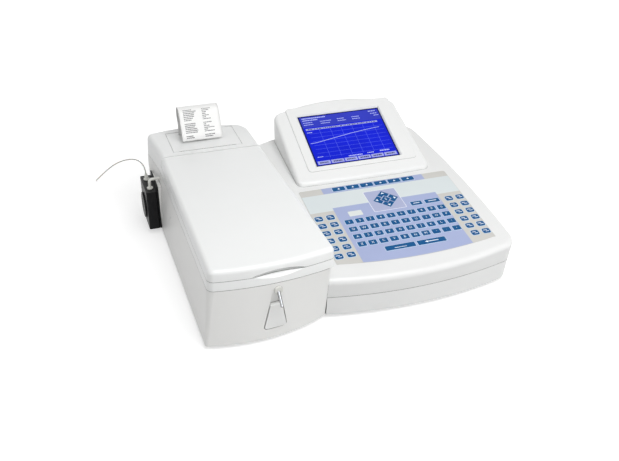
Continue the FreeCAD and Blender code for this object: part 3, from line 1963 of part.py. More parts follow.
def cursor_keys():
    z = pad_top()
    square = key_block(cursor_x, cursor_y, 2 * cursor_ring_out, 2 * cursor_ring_out, side_corner * 2)
    hollow = rounded_block(
        cursor_x - cursor_ring_in,
        cursor_y - cursor_ring_in,
        z - overrun,
        cursor_x + cursor_ring_in,
        cursor_y + cursor_ring_in,
        z + overrun,
        side_corner,
    )
    ring = square.cut(hollow)
    slots = []
    for turn in (cursor_turn_deg, cursor_turn_deg + 90):
        slot = box(-far, -cursor_slot / 2, z - overrun, far, cursor_slot / 2, z + overrun)
        slot.rotate(V(0, 0, 0), Z_AXIS, turn)
        slot.translate(V(cursor_x, cursor_y, 0))
        slots.append(slot)
    middle = key_block(cursor_x, cursor_y, 2 * cursor_inner, 2 * cursor_inner, side_corner)
    for piece in (ring, middle):
        piece.rotate(V(cursor_x, cursor_y, 0), Z_AXIS, cursor_turn_deg)
    return on_deck(gathered(ring.cut(slots).Solids + [middle]))


# Screen housing on the deck
def housing_wire(z, inward):
    mid = (housing_left + housing_right) / 2
    sides = [
        ("arc", (mid, housing_front + housing_front_r), housing_front_r),
        line_side(housing_right, housing_front, housing_right_rear, housing_rear_y),
        ("arc", (mid, housing_rear_y - housing_rear_r), housing_rear_r),
        line_side(housing_left_rear, housing_rear_y, housing_left, housing_front),
    ]
    corners = [
        (housing_right, housing_front),
        (housing_right_rear, housing_rear_y),
        (housing_left_rear, housing_rear_y),
        (housing_left, housing_front),
    ]
    radii = [housing_corner_front, housing_corner_rear, housing_corner_rear, housing_corner_front]
    return rounded_wire(sides, radii, corners, z, inward)


def housing_column(z0, z1, inward):
    return Part.Face(housing_wire(z0, inward)).extrude(V(0, 0, z1 - z0))


def screen_housing():
    block = housing_column(foot_height, far, 0.0).common(slab(deck_plane(), top_plane()))
    block = block.common(slab(bottom_plane(), face_plane()))
    top = edges_on(block, lambda c: near_plane(face_plane(), c, edge_reach))
    block = block.makeFillet(housing_fillet, top)
    inside = housing_column(foot_height, far, wall)
    inside = inside.common(slab(bottom_plane(), thickness_drop(face_plane(), wall)))
    seat = on_face(bezel_block(-bezel_seat, far, seat_gap))
    opening = on_face(
        box(-frame_margin, -frame_margin, -far, display_w + frame_margin, display_h + frame_margin, far)
    )
    return cut_all(block, [inside, seat, opening.common(slab(deck_plane(), top_plane()))])


def bezel_block(z0, z1, gap):
    return rounded_block(
        -bezel_left - gap,
        -bezel_below - gap,
        z0,
        display_w + bezel_right + gap,
        display_h + bezel_above + gap,
        z1,
        bezel_corner,
    )


def screen_bezel():
    top = bezel_thickness - bezel_seat
    ring = bezel_block(-bezel_seat, top, 0.0)
    outline = edges_on(ring, lambda c: abs(c.z - top) < edge_reach)
    ring = ring.makeChamfer(top * bezel_edge_share, outline)
    low = box(0, 0, -bezel_seat, display_w, display_h, -bezel_seat + overrun)
    wide = bezel_bevel
    bevel = Part.makeLoft(
        [
            flat_rectangle(0, 0, display_w, display_h, -bezel_seat),
            flat_rectangle(-wide, -wide, display_w + wide, display_h + wide, top),
        ],
        True,
        True,
    )
    return on_face(cut_all(ring, [bevel]))


def flat_rectangle(x0, y0, x1, y1, z):
    corners = [V(x0, y0, z), V(x1, y0, z), V(x1, y1, z), V(x0, y1, z)]
    return Part.makePolygon(corners + [corners[0]])


def lcd_top():
    return -bezel_seat


def lcd_panel():
    m = panel_margin
    return on_face(box(-m, -m, lcd_top() - panel_thickness, display_w + m, display_h + m, lcd_top()))


def lcd_frame():
    m = frame_margin
    top = lcd_top() - panel_thickness
    back = box(-m, -m, top - frame_thickness, display_w + m, display_h + m, top)
    hollow = box(0, 0, top - frame_thickness - overrun, display_w, display_h, top - frame_thickness / 2)
    ears = []
    inset = m + frame_boss_r - wall / 2
    for x in (-inset, display_w + inset):
        for y in (0, display_h):
            ears.append(rod(x, y, top - frame_thickness, frame_boss_r, frame_thickness - wall - top, Z_AXIS))
    return on_face(fused([back.cut(hollow)] + ears))


# Rear panel and what it carries
def centred(x, z, width, height, y0, y1):
    return box(x - width / 2, y0, z - height / 2, x + width / 2, y1, z + height / 2)


def grille_cuts():
    slots = []
    pitch = (grille_r - grille_hub_r) / grille_rings
    for index in range(grille_rings):
        outer = rod(fan_x, panel_y - overrun, fan_z, grille_r - index * pitch, panel_t + 2 * overrun, Y_AXIS)
        inner_r = grille_r - index * pitch - grille_slot
        slots.append(outer.cut(rod(fan_x, panel_y - overrun, fan_z, inner_r, panel_t + 2 * overrun, Y_AXIS)))
    bars = []
    for turn in (45, 135):
        bar = box(-grille_r, panel_y - overrun, -grille_bar / 2, grille_r, far, grille_bar / 2)
        bar.rotate(V(0, 0, 0), Y_AXIS, turn)
        bar.translate(V(fan_x, 0, fan_z))
        bars.append(bar)
    return [slot.cut(bars) for slot in slots]


def fan_screw_places():
    half = fan_screw_pitch / 2
    return [(fan_x + side_x * half, fan_z + side_z * half) for side_x in (-1, 1) for side_z in (-1, 1)]


def rear_panel():
    plate = box(
        panel_x0 + seat_gap,
        panel_y,
        panel_z0 + seat_gap,
        panel_x1 - seat_gap,
        panel_y + panel_t,
        panel_z1 - seat_gap,
    )
    cutters = grille_cuts()
    cutters.append(box(inlet_x - inlet_w / 2, 0, inlet_z0, inlet_x + inlet_w / 2, far, inlet_z1))
    cutters.append(centred(port_x, port_z, port_shell_w + 2 * port_shell_corner, port_shell_h, 0, far))
    for x, z in screw_places() + fan_screw_places():
        cutters.append(rod(x, 0, z, screw_r, far, Y_AXIS))
    return cut_all(plate, cutters)


def screw_at(x, z):
    head = rod(x, panel_y + panel_t, z, screw_head_r, screw_head, Y_AXIS)
    rim = edges_on(head, lambda c: abs(c.y - panel_y - panel_t - screw_head) < edge_reach)
    head = head.makeFillet(screw_head / 2, rim)
    shank = rod(x, panel_y + panel_t - screw_length, z, screw_r, screw_length, Y_AXIS)
    y = panel_y + panel_t + screw_head / 2
    slots = []
    for turn in (0, 90):
        slot = box(-screw_r, y, -seam_gap / 2, screw_r, far, seam_gap / 2)
        slot.rotate(V(0, 0, 0), Y_AXIS, turn)
        slot.translate(V(x, 0, z))
        slots.append(slot)
    return cut_all(fused([head, shank]), slots)


def casing_screws():
    return gathered([screw_at(x, z) for x, z in screw_places() + fan_screw_places()])


def flange_y():
    return panel_y + panel_t + inlet_flange


def power_inlet():
    body = box(
        inlet_x - inlet_w / 2 + seat_gap,
        panel_y - inlet_depth,
        inlet_z0 + seat_gap,
        inlet_x + inlet_w / 2 - seat_gap,
        panel_y + panel_t,
        inlet_z1 - seat_gap,
    )
    side = inlet_flange_side
    flange = box(
        inlet_x - inlet_w / 2 - side,
        panel_y + panel_t,
        inlet_z0 - side / 2,
        inlet_x + inlet_w / 2 + side,
        flange_y(),
        inlet_z1 + side / 2,
    )
    rim = edges_on(flange, lambda c: abs(c.y - flange_y()) < edge_reach)
    flange = flange.makeChamfer(side / 3, rim)
    y_face = flange_y()
    socket = socket_room()
    drawer_room = centred(
        inlet_x, fuse_z, fuse_w + 2 * fit_gap, fuse_h + 2 * fit_gap, y_face - fuse_depth - fuse_end_gap, far
    )
    y_pin = rocker_axis()
    rocker_room = centred(
        inlet_x,
        rocker_z,
        rocker_w + 2 * rocker_side_gap,
        rocker_h + 2 * rocker_end_gap,
        y_face - rocker_depth,
        far,
    )
    pin_half = rocker_w / 2 + rocker_pin_out + fit_gap
    pin_hole = rod(inlet_x - pin_half, y_pin, rocker_z, rocker_pin_r + fit_gap, 2 * pin_half, X_AXIS)
    blades = []
    for index in range(3):
        x = inlet_x + (index - 1) * blade_pitch
        z = socket_z + (blade_raise if index == 1 else -blade_raise)
        y_floor = y_face - socket_depth
        blades.append(centred(x, z, blade_t, blade_w, y_floor - wall, y_floor + blade_length))
    return fused([cut_all(fused([body, flange]), [socket, drawer_room, rocker_room, pin_hole])] + blades)


def socket_room():
    half_w = socket_w / 2
    half_h = socket_h / 2
    cut = socket_h * socket_cut_share
    outline = [
        (inlet_x - half_w, socket_z - half_h),
        (inlet_x + half_w, socket_z - half_h),
        (inlet_x + half_w, socket_z + half_h - cut),
        (inlet_x + half_w - cut, socket_z + half_h),
        (inlet_x - half_w + cut, socket_z + half_h),
        (inlet_x - half_w, socket_z + half_h - cut),
    ]
    return prism_y(outline, flange_y() - socket_depth, far)


def fuse_drawer():
    y_face = flange_y()
    block = centred(inlet_x, fuse_z, fuse_w, fuse_h, y_face - fuse_depth, y_face + seat_gap)
    face = centred(
        inlet_x, fuse_z, fuse_w - fuse_grip, fuse_h - fuse_grip, y_face, y_face + fuse_face
    )
    hollow = centred(
        inlet_x,
        fuse_z,
        fuse_w - 2 * fuse_wall,
        fuse_h - 2 * fuse_wall,
        y_face - fuse_depth + fuse_wall,
        y_face - fuse_wall,
    )
    hollow = fused([hollow, hollow.translated(V(0, 0, fuse_h / 2))])
    fuse = rod(
        inlet_x - fuse_w / 2 + fuse_wall,
        y_face - fuse_depth / 2,
        fuse_z - fuse_h / 2 + fuse_wall + fuse_r - fuse_sink,
        fuse_r,
        fuse_w - 2 * fuse_wall,
        X_AXIS,
    )
    return fused([block.cut(hollow), face, fuse])


def rocker_axis():
    return flange_y() - rocker_sink


def rocker_switch():
    y = rocker_axis()
    half = rocker_h / 2
    tilt = rocker_h / 2 * math.tan(math.radians(rocker_tilt_deg))
    front = flange_y() + rocker_proud
    side = [
        (y - rocker_back, -half * rocker_root_share),
        (y - rocker_back, half * rocker_root_share),
        (y, half),
        (front, half),
        (front - tilt, 0),
        (front, -half),
        (y, -half),
    ]
    body = prism_x([(a, rocker_z + b) for a, b in side], inlet_x - rocker_w / 2, inlet_x + rocker_w / 2)
    swing = rod(inlet_x - rocker_w / 2, y, rocker_z, rocker_swing_r, rocker_w, X_AXIS)
    pin_half = rocker_w / 2 + rocker_pin_out
    pin = rod(inlet_x - pin_half, y, rocker_z, rocker_pin_r, 2 * pin_half, X_AXIS)
    rocker = fused([body.common(swing), pin])
    rocker.rotate(V(inlet_x, y, rocker_z), X_AXIS, -rocker_tilt_deg)
    return rocker


def data_port():
    y0 = panel_y + panel_t
    flange = centred(port_x, port_z, port_w, port_h, y0, y0 + port_flange)
    shell_end = y0 + port_flange + port_shell
    shell_outer = centred(port_x, port_z, port_shell_w, port_shell_h, y0 - port_depth, shell_end)
    long_edges = [
        edge for edge in shell_outer.Edges if abs(edge.tangentAt(edge.FirstParameter).y) > 0.5
    ]
    shell_outer = shell_outer.makeFillet(port_shell_corner, long_edges)
    room = centred(
        port_x,
        port_z,
        port_shell_w - 2 * port_shell_wall,
        port_shell_h - 2 * port_shell_wall,
        y0 + port_flange + port_shell - port_pin_depth,
        far,
    )
    body = cut_all(fused([flange, shell_outer]), [room])
    pins = []
    for row, count in ((1, 5), (-1, 4)):
        for index in range(count):
            x = port_x + (index - (count - 1) / 2) * port_pin_pitch
            z = port_z + row * port_pin_row
            y = y0 + port_flange + port_shell - port_pin_depth - wall / 2
            pins.append(rod(x, y, z, port_pin_r, port_pin_depth, Y_AXIS))
    return fused([body] + pins)


def fan_back_y():
    return panel_y - fan_thickness


def fan_frame():
    half = fan_size / 2
    y0 = fan_back_y()
    frame = centred(fan_x, fan_z, fan_size, fan_size, y0, panel_y)
    corners = [edge for edge in frame.Edges if abs(edge.tangentAt(edge.FirstParameter).y) > 0.5]
    frame = frame.makeFillet(fan_corner, corners)
    frame = frame.cut(rod(fan_x, y0 - overrun, fan_z, fan_bore_r, fan_thickness + 2 * overrun, Y_AXIS))
    spokes = [rod(fan_x, y0, fan_z, fan_motor_r, fan_back, Y_AXIS)]
    for turn in (45, 135):
        bar = box(-half, y0, -fan_spoke_w / 2, half, y0 + fan_back, fan_spoke_w / 2)
        bar.rotate(V(0, 0, 0), Y_AXIS, turn)
        bar.translate(V(fan_x, 0, fan_z))
        spokes.append(bar)
    cutters = [rod(fan_x, y0 - overrun, fan_z, fan_axle_r + fit_gap, far, Y_AXIS)]
    for x, z in fan_screw_places():
        cutters.append(rod(x, panel_y - screw_length, z, screw_r, far, Y_AXIS))
    return cut_all(fused([frame] + spokes), cutters)


def fan_rotor():
    y0 = fan_back_y() + fan_back + body_gap
    y1 = y0 + fan_hub_depth
    hub = rod(fan_x, y0, fan_z, fan_hub_r, fan_hub_depth, Y_AXIS)
    rim = edges_on(hub, lambda c: abs(c.y - y1) < edge_reach)
    hub = hub.makeFillet(fan_blade_t, rim)
    axle = rod(fan_x, fan_back_y(), fan_z, fan_axle_r, fan_hub_depth, Y_AXIS)
    shell = rod(fan_x, y0, fan_z, fan_blade_r, fan_hub_depth, Y_AXIS)
    blades = []
    for index in range(fan_blades):
        blade = box(
            fan_hub_r - fan_blade_root,
            -fan_hub_depth,
            -fan_blade_t / 2,
            fan_size,
            fan_hub_depth,
            fan_blade_t / 2,
        )
        blade.rotate(V(0, 0, 0), X_AXIS, fan_blade_pitch_deg)
        blade.rotate(V(0, 0, 0), Y_AXIS, index * 360 / fan_blades)
        blade.translate(V(fan_x, y0 + fan_hub_depth / 2, fan_z))
        blades.append(blade.common(shell))
    return fused([hub, axle] + blades)


# Electronics on the console floor
def main_board():
    z = floor_top() + board_rise
    board = box(board_x0, board_y0, z, board_x1, board_y1, z + board_t)
    chips = []
    for share_x, share_y, share_w, share_d in chip_shares:
        x = board_x0 + share_x * (board_x1 - board_x0)
        y = board_y0 + share_y * (board_y1 - board_y0)
        w = share_w * (board_x1 - board_x0)
        d = share_d * (board_y1 - board_y0)
        chips.append(box(x - w / 2, y - d / 2, z + board_t, x + w / 2, y + d / 2, z + board_t + chip_h))
    return fused([board] + chips)


def power_supply():
    z = floor_top()
    outer = box(supply_x0, supply_y0, z, supply_x1, supply_y1, z + supply_h)
    t = supply_sheet
    room = box(supply_x0 - overrun, supply_y0 + t, z + t, supply_x1 + overrun, supply_y1 - t, far)
    y = (supply_y0 + supply_y1) / 2
    coil_x = supply_x0 + (supply_x1 - supply_x0) * coil_share
    cap_x = supply_x0 + (supply_x1 - supply_x0) * cap_share
    coil_hole = rod(coil_x, y, z + 2 * t, coil_r / 2, coil_h, Z_AXIS)
    coil = rod(coil_x, y, z + t, coil_r, coil_h, Z_AXIS).cut(coil_hole)
    caps = [rod(cap_x, y + side * cap_r * cap_apart_share, z + t, cap_r, cap_h, Z_AXIS) for side in (-1, 1)]
    return fused([outer.cut(room), coil] + caps)


def foot_places():
    left = tower_left_bottom + foot_inset
    middle = tower_right_rear - foot_inset
    right = console_right_bottom - foot_inset - wall
    front = front_y_bottom + foot_front
    return [
        (left, front),
        (left, tower_rear_y - foot_rear),
        (middle, tower_rear_y - foot_rear),
        (middle, front),
        (right, front + foot_front / 2),
        (right, console_rear_y - foot_console_rear),
    ]


def feet():
    discs = []
    for x, y in foot_places():
        disc = rod(x, y, 0.0, foot_r, foot_height, Z_AXIS)
        rim = edges_on(disc, lambda c: abs(c.z) < edge_reach)
        discs.append(disc.makeFillet(foot_round, rim))
    return gathered(discs)


def all_nodes():
    casing = tower_casing()
    nodes = {
        "tower_casing": casing,
        "upper_housing": upper_housing(),
        "lid": lid(),
        "hinge_pins": hinge_pins(),
        "printer_cover": printer_cover(),
        "paper_strip": paper_strip(),
        "printer_frame": printer_frame(),
        "print_head": print_head(),
        "printer_motor": printer_motor(),
        "motor_pinion": motor_pinion(),
        "platen_roller": platen_roller(),
        "paper_roll": paper_roll(),
        "pump_plate": pump_plate_piece(),
        "pump_body": pump_body(),
        "pump_clamp": pump_clamp(),
        "pump_motor": pump_motor(),
        "pump_tube": pump_tube(),
        "pump_rotor": pump_rotor(),
        "inlet_fitting": inlet_fitting(),
        "outlet_fitting": outlet_fitting(),
        "needle_boss": needle_boss(casing),
        "sipper_needle": sipper_needle(),
        "aspirate_key": aspirate_key(),
        "aspirate_switch": aspirate_switch(),
        "optical_bench": optical_bench(),
        "lamp_housing": lamp_housing(),
        "lamp": lamp(),
        "lens_barrel": lens_barrel(),
        "filter_wheel": filter_wheel(),
        "filters": filters(),
        "filter_motor": filter_motor(),
        "flow_cell_block": flow_cell_block(),
        "detector_board": detector_board(),
        "sample_tubing": sample_tubing(),
        "console_base": console_base(),
        "console_top": console_top(),
        "keypad_overlay": keypad_overlay(),
        "function_keys": function_keys(),
        "character_keys": character_keys(),
        "side_keys": side_keys(),
        "cursor_keys": cursor_keys(),
        "screen_housing": screen_housing(),
        "screen_bezel": screen_bezel(),
        "lcd_panel": lcd_panel(),
        "lcd_frame": lcd_frame(),
        "rear_panel": rear_panel(),
        "casing_screws": casing_screws(),
        "power_inlet": power_inlet(),
        "fuse_drawer": fuse_drawer(),
        "rocker_switch": rocker_switch(),
        "data_port": data_port(),
        "fan_frame": fan_frame(),
        "fan_rotor": fan_rotor(),
        "main_board": main_board(),
        "power_supply": power_supply(),
        "feet": feet(),
    }
    for index in range(roller_count):
        nodes["pump_roller_" + str(index + 1)] = pump_roller(index)
    return nodes


def print_waste_tube(tube, path, bends):
    print("waste_tube bend radii", [round(radius, 2) for radius in bends])
    print("waste_tube length", round(path.Length, 2))
    expected = math.pi * waste_r ** 2 * path.Length
    print("waste_tube volume", round(tube.Volume, 2), "expected", round(expected, 2))


def export_all():
    nodes = all_nodes()
    extent = FreeCAD.BoundBox()
    for shape in nodes.values():
        extent.add(shape.optimalBoundingBox(False, False))
    shift = V(-extent.Center.x, -extent.Center.y, -extent.ZMin)
    print("shift", round(shift.x, 4), round(shift.y, 4), round(shift.z, 4))
    print("size", round(extent.XLength, 3), round(extent.YLength, 3), round(extent.ZLength, 3))
    tube, path, bends = waste_tube()
    print_waste_tube(tube, path, bends)
    nodes["waste_tube"] = tube
    os.makedirs("parts", exist_ok=True)
    for name, shape in nodes.items():
        shape.translate(shift)
        shape.exportStep("parts/" + name + ".step")
        print(name, shape.ShapeType, len(shape.Solids), shape.isValid(), round(shape.Volume, 1))


export_all()
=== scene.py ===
import math
import random

import bpy
from mathutils import Matrix, Vector


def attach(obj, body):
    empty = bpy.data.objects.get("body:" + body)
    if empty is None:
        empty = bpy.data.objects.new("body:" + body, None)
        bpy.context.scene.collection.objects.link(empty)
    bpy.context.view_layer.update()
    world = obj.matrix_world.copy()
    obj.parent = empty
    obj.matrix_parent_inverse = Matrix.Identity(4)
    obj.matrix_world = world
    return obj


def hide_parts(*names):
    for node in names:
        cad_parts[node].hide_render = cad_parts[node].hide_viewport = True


# A benchtop chemistry analyzer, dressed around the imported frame. The scene is in metres, and the
# design's own places and sizes are in millimetres.
MM = 0.001
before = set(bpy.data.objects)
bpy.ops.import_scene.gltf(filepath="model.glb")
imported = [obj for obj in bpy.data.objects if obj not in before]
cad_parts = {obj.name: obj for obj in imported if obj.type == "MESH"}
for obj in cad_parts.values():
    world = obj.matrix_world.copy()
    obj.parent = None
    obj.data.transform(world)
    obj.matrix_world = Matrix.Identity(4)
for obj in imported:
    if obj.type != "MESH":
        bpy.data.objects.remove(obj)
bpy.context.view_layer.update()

# The photograph's camera, worked out from the instrument's straight edges
IMAGE_WIDTH = 619
FOCAL_PIXELS = 806.97
SENSOR = 36.0
CAMERA_PLACE = Vector((-0.31317, -0.89984, 0.56413))
CAMERA_YAW = math.radians(18.66)
CAMERA_PITCH = math.radians(29.43)

# How far the design's own origin moved when the parts were written, in millimetres
SHIFT = Vector((-189.2, -171.5564, 0.0))

# Keypad film, in millimetres on the deck: across, and up the slope from the rear left corner
DECK_SLOPE = math.radians(9.79)
PAD_ORIGIN = Vector((165.5, 174.4, 86.5))
PAD_WIDTH = 212.0
PAD_SIDE = 148.0
PAD_BULGE = 10.0
PAD_RECESS = 0.4
PAD_TOP = 0.2
BAND_INSET = 0.3
FILM_LAYER = 0.03
KEY_RISE = 0.5

# Display, in millimetres on the face: across, and up the slope from the lower left corner
FACE_SLOPE = math.radians(24.3)
FACE_ORIGIN = Vector((203.4, 208.5, 104.0))
DISPLAY_W = 123.0
DISPLAY_H = 95.0
DISPLAY_DEPTH = -1.6


def placed(point, slope, origin):
    turned = Matrix.Rotation(slope, 3, "X") @ Vector(point)
    return (turned + origin + SHIFT) * MM


def on_deck(x, y, z):
    return placed((x, y, z), DECK_SLOPE, PAD_ORIGIN)


def on_face(x, y, z):
    return placed((x, y, z), FACE_SLOPE, FACE_ORIGIN)


def design(x, y, z):
    return (Vector((x, y, z)) + SHIFT) * MM


# Shader helpers
BROAD_SCALE = 14.0
GLOSS_SCALE = 90.0
GLOW_SCALE = 30.0
GLOSS_SPREAD = 0.06
GLOW_SPREAD = 0.06
BUMP_REACH = 0.0001
EDGE_SAMPLES = 8
# Painted shade in seams and crevices: an occlusion test darkens the base colour there
PAINTED_SHADE_SAMPLES = 8
PAINTED_SHADE_SHARE = 0.22
PAINTED_SHADE_START = 0.4
PAINTED_SHADE_STOP = 0.8

# How much of its own colour a glowing surface keeps under outside light
UNLIT_SHARE = 0.1
GLOW_SPECULAR = 0.1
GLOW_ROUGH = 0.2


def new_material(name):
    material = bpy.data.materials.new(name)
    material.use_nodes = True
    return material, material.node_tree, material.node_tree.nodes["Principled BSDF"]


def noise(tree, scale, detail=3.0, roughness=0.5):
    place = tree.nodes.new("ShaderNodeTexCoord")
    texture = tree.nodes.new("ShaderNodeTexNoise")
    texture.inputs["Scale"].default_value = scale
    texture.inputs["Detail"].default_value = detail
    texture.inputs["Roughness"].default_value = roughness
    tree.links.new(place.outputs["Object"], texture.inputs["Vector"])
    return texture


def ramp(tree, source, low, high, start=0.35, stop=0.65):
    node = tree.nodes.new("ShaderNodeValToRGB")
    node.color_ramp.elements[0].position = start
    node.color_ramp.elements[1].position = stop
    node.color_ramp.elements[0].color = low
    node.color_ramp.elements[1].color = high
    tree.links.new(source, node.inputs["Fac"])
    return node


def grey(value):
    return (value, value, value, 1.0)


def tint(color, factor):
    return tuple(min(1.0, channel * factor) for channel in color) + (1.0,)


def painted_crevice_shade(tree, color, reach):
    """The colour with painted shade: darker where other surfaces lie within reach, as in a seam."""
    open_share = tree.nodes.new("ShaderNodeAmbientOcclusion")
    open_share.samples = PAINTED_SHADE_SAMPLES
    open_share.inputs["Distance"].default_value = reach
    shade = ramp(
        tree, open_share.outputs["AO"], grey(PAINTED_SHADE_SHARE), grey(1.0), PAINTED_SHADE_START, PAINTED_SHADE_STOP
    )
    mixed = tree.nodes.new("ShaderNodeMixRGB")
    mixed.blend_type = "MULTIPLY"
    mixed.inputs["Fac"].default_value = 1.0
    tree.links.new(color, mixed.inputs["Color1"])
    tree.links.new(shade.outputs["Color"], mixed.inputs["Color2"])
    return mixed.outputs["Color"]


def surface(
    name, color, rough, grain=0.0, grain_size=0.0006, spread=0.03, edge=0.0004, crevice=0.0, **sockets
):
    """A material with mottled colour, uneven gloss, fine grain and softened edges, and painted shade in
    its crevices where a reach is given.
    """
    material, tree, shader = new_material(name)
    broad = noise(tree, BROAD_SCALE, 4.0, 0.6)
    shade = ramp(tree, broad.outputs["Fac"], tint(color, 1.0 - spread), tint(color, 1.0 + spread))
    shown = shade.outputs["Color"]
    # Painted shade: the base colour is darkened in seams and crevices
    if crevice:
        shown = painted_crevice_shade(tree, shown, crevice)
    tree.links.new(shown, shader.inputs["Base Color"])
    fine = noise(tree, 1.0 / grain_size, 2.0, 0.5)
    uneven = noise(tree, GLOSS_SCALE, 3.0)
    low = grey(rough * (1.0 - GLOSS_SPREAD))
    high = grey(rough * (1.0 + GLOSS_SPREAD))
    gloss = ramp(tree, uneven.outputs["Fac"], low, high)
    tree.links.new(gloss.outputs["Color"], shader.inputs["Roughness"])
    bump = tree.nodes.new("ShaderNodeBump")
    bump.inputs["Strength"].default_value = grain
    bump.inputs["Distance"].default_value = BUMP_REACH
    tree.links.new(fine.outputs["Fac"], bump.inputs["Height"])
    if edge:
        rounding = tree.nodes.new("ShaderNodeBevel")
        rounding.samples = EDGE_SAMPLES
        rounding.inputs["Radius"].default_value = edge
        tree.links.new(rounding.outputs["Normal"], bump.inputs["Normal"])
    tree.links.new(bump.outputs["Normal"], shader.inputs["Normal"])
    for key, value in sockets.items():
        shader.inputs[key.replace("_", " ")].default_value = value
    return material


def glowing(name, color, strength):
    """A lit display colour that stays nearly black where it is unlit."""
    material, tree, shader = new_material(name)
    broad = noise(tree, GLOW_SCALE, 2.0)
    low = tint(color, 1.0 - GLOW_SPREAD)
    high = tint(color, 1.0 + GLOW_SPREAD)
    shade = ramp(tree, broad.outputs["Fac"], low, high)
    unlit = ramp(tree, broad.outputs["Fac"], tint(color, UNLIT_SHARE), tint(color, UNLIT_SHARE))
    tree.links.new(shade.outputs["Color"], shader.inputs["Emission Color"])
    tree.links.new(unlit.outputs["Color"], shader.inputs["Base Color"])
    shader.inputs["Specular IOR Level"].default_value = GLOW_SPECULAR
    shader.inputs["Emission Strength"].default_value = strength
    shader.inputs["Roughness"].default_value = GLOW_ROUGH
    return material


# Mesh helpers
TINY = 1e-6


def mesh_object(name, verts, faces, material, smooth=False):
    mesh = bpy.data.meshes.new(name)
    mesh.from_pydata([tuple(v) for v in verts], [], faces)
    mesh.validate()
    if smooth:
        mesh.polygons.foreach_set("use_smooth", [True] * len(mesh.polygons))
    mesh.materials.append(material)
    piece = bpy.data.objects.new(name, mesh)
    bpy.context.scene.collection.objects.link(piece)
    return piece


class Plates:
    """Many flat rounded plates, gathered into one mesh."""

    def __init__(self, place):
        self.place = place
        self.verts = []
        self.faces = []

    def add(self, outline, z0, z1, inset=0.0):
        """A plate from z0 to z1 whose top edge is set in by a small chamfer."""
        count = len(outline)
        start = len(self.verts)
        cx = sum(p[0] for p in outline) / count
        cy = sum(p[1] for p in outline) / count
        half_w = max(abs(p[0] - cx) for p in outline)
        half_h = max(abs(p[1] - cy) for p in outline)
        share_w = 1.0 - inset / max(half_w, inset * 2 + TINY)
        share_h = 1.0 - inset / max(half_h, inset * 2 + TINY)
        rings = [(1.0, 1.0, z0), (1.0, 1.0, z1 - inset), (share_w, share_h, z1)]
        if not inset:
            rings = rings[:2]
        for grow_w, grow_h, z in rings:
            for x, y in outline:
                self.verts.append(self.place(cx + (x - cx) * grow_w, cy + (y - cy) * grow_h, z))
        for level in range(len(rings) - 1):
            low = start + level * count
            for i in range(count):
                j = (i + 1) % count
                self.faces.append((low + i, low + j, low + count + j, low + count + i))
        last = start + (len(rings) - 1) * count
        self.faces.append(tuple(range(last, last + count)))
        self.faces.append(tuple(range(start + count - 1, start - 1, -1)))

    def build(self, name, material, body):
        piece = mesh_object(name, self.verts, self.faces, material)
        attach(piece, body)
        return piece


def box_outline(x0, y0, x1, y1):
    return [(x0, y0), (x1, y0), (x1, y1), (x0, y1)]


def rounded_outline(x0, y0, x1, y1, radius, steps=4):
    """Corner points of a rounded rectangle, in order round it."""
    points = []
    corners = [(x1 - radius, y0 + radius, -90), (x1 - radius, y1 - radius, 0)]
    corners += [(x0 + radius, y1 - radius, 90), (x0 + radius, y0 + radius, 180)]
    for cx, cy, first in corners:
        for step in range(steps + 1):
            angle = math.radians(first + 90.0 * step / steps)
            points.append((cx + radius * math.cos(angle), cy + radius * math.sin(angle)))
    return points


def centred_outline(x, y, width, height, radius):
    return rounded_outline(x - width / 2, y - height / 2, x + width / 2, y + height / 2, radius)


def shifted(outline, x, y):
    return [(x + px, y + py) for px, py in outline]


def pad_front(x):
    """How far down the slope the film's curved front edge lies at x."""
    half = PAD_WIDTH / 2
    radius = (half ** 2 + PAD_BULGE ** 2) / (2 * PAD_BULGE)
    return -PAD_SIDE - PAD_BULGE + radius - math.sqrt(radius ** 2 - (x - half) ** 2)


def band_to_front(x0, x1, top, steps=16):
    """An outline from a level edge down to the film's curved front edge."""
    points = []
    for step in range(steps + 1):
        x = x0 + (x1 - x0) * step / steps
        points.append((x, pad_front(x) + BAND_INSET))
    return points + [(x1, top), (x0, top)]


# Camera, light and floor
WORLD_LEVEL = 0.40
FLOOR_BASE = 0.65
FLOOR_LIFT = 0.55
FLOOR_REACH = 4.0
FLOOR_PLAIN = (0.35, 0.9)

# Each lamp's name, place, aim, size and power
LAMPS = [
    ("key", (0.12, -0.60, 1.05), (-0.03, 0.0, 0.05), 0.8, 9.0),
    ("low", (0.75, -0.85, 0.4), (0.1, 0.0, 0.04), 0.5, 2.0),
    ("rear", (0.1, 1.4, 0.14), (0.0, 0.0, 0.07), 0.4, 1.6),
    ("left", (-1.2, -0.3, 0.6), (-0.1, 0.0, 0.05), 0.6, 1.2),
]


def add_camera():
    data = bpy.data.cameras.new("photo_camera")
    data.sensor_width = SENSOR
    data.sensor_fit = "HORIZONTAL"
    data.lens = FOCAL_PIXELS * SENSOR / IMAGE_WIDTH
    data.clip_start = 0.01
    camera = bpy.data.objects.new("photo_camera", data)
    camera.location = CAMERA_PLACE
    camera.rotation_euler = (math.pi / 2 - CAMERA_PITCH, 0.0, -CAMERA_YAW)
    bpy.context.scene.collection.objects.link(camera)
    bpy.context.scene.camera = camera


def add_lamp(name, place, aim, size, power):
    data = bpy.data.lights.new(name, "AREA")
    data.energy = power
    data.size = size
    lamp = bpy.data.objects.new(name, data)
    lamp.location = place
    way = Vector(aim) - Vector(place)
    lamp.rotation_euler = way.to_track_quat("-Z", "Y").to_euler()
    bpy.context.scene.collection.objects.link(lamp)


def seen_directly(tree):
    """One for camera, mirror and glass rays, and zero for the light that falls on the object."""
    path = tree.nodes.new("ShaderNodeLightPath")
    total = path.outputs["Is Camera Ray"]
    for name in ("Is Glossy Ray", "Is Transmission Ray"):
        higher = tree.nodes.new("ShaderNodeMath")
        higher.operation = "MAXIMUM"
        tree.links.new(total, higher.inputs[0])
        tree.links.new(path.outputs[name], higher.inputs[1])
        total = higher.outputs[0]
    return total


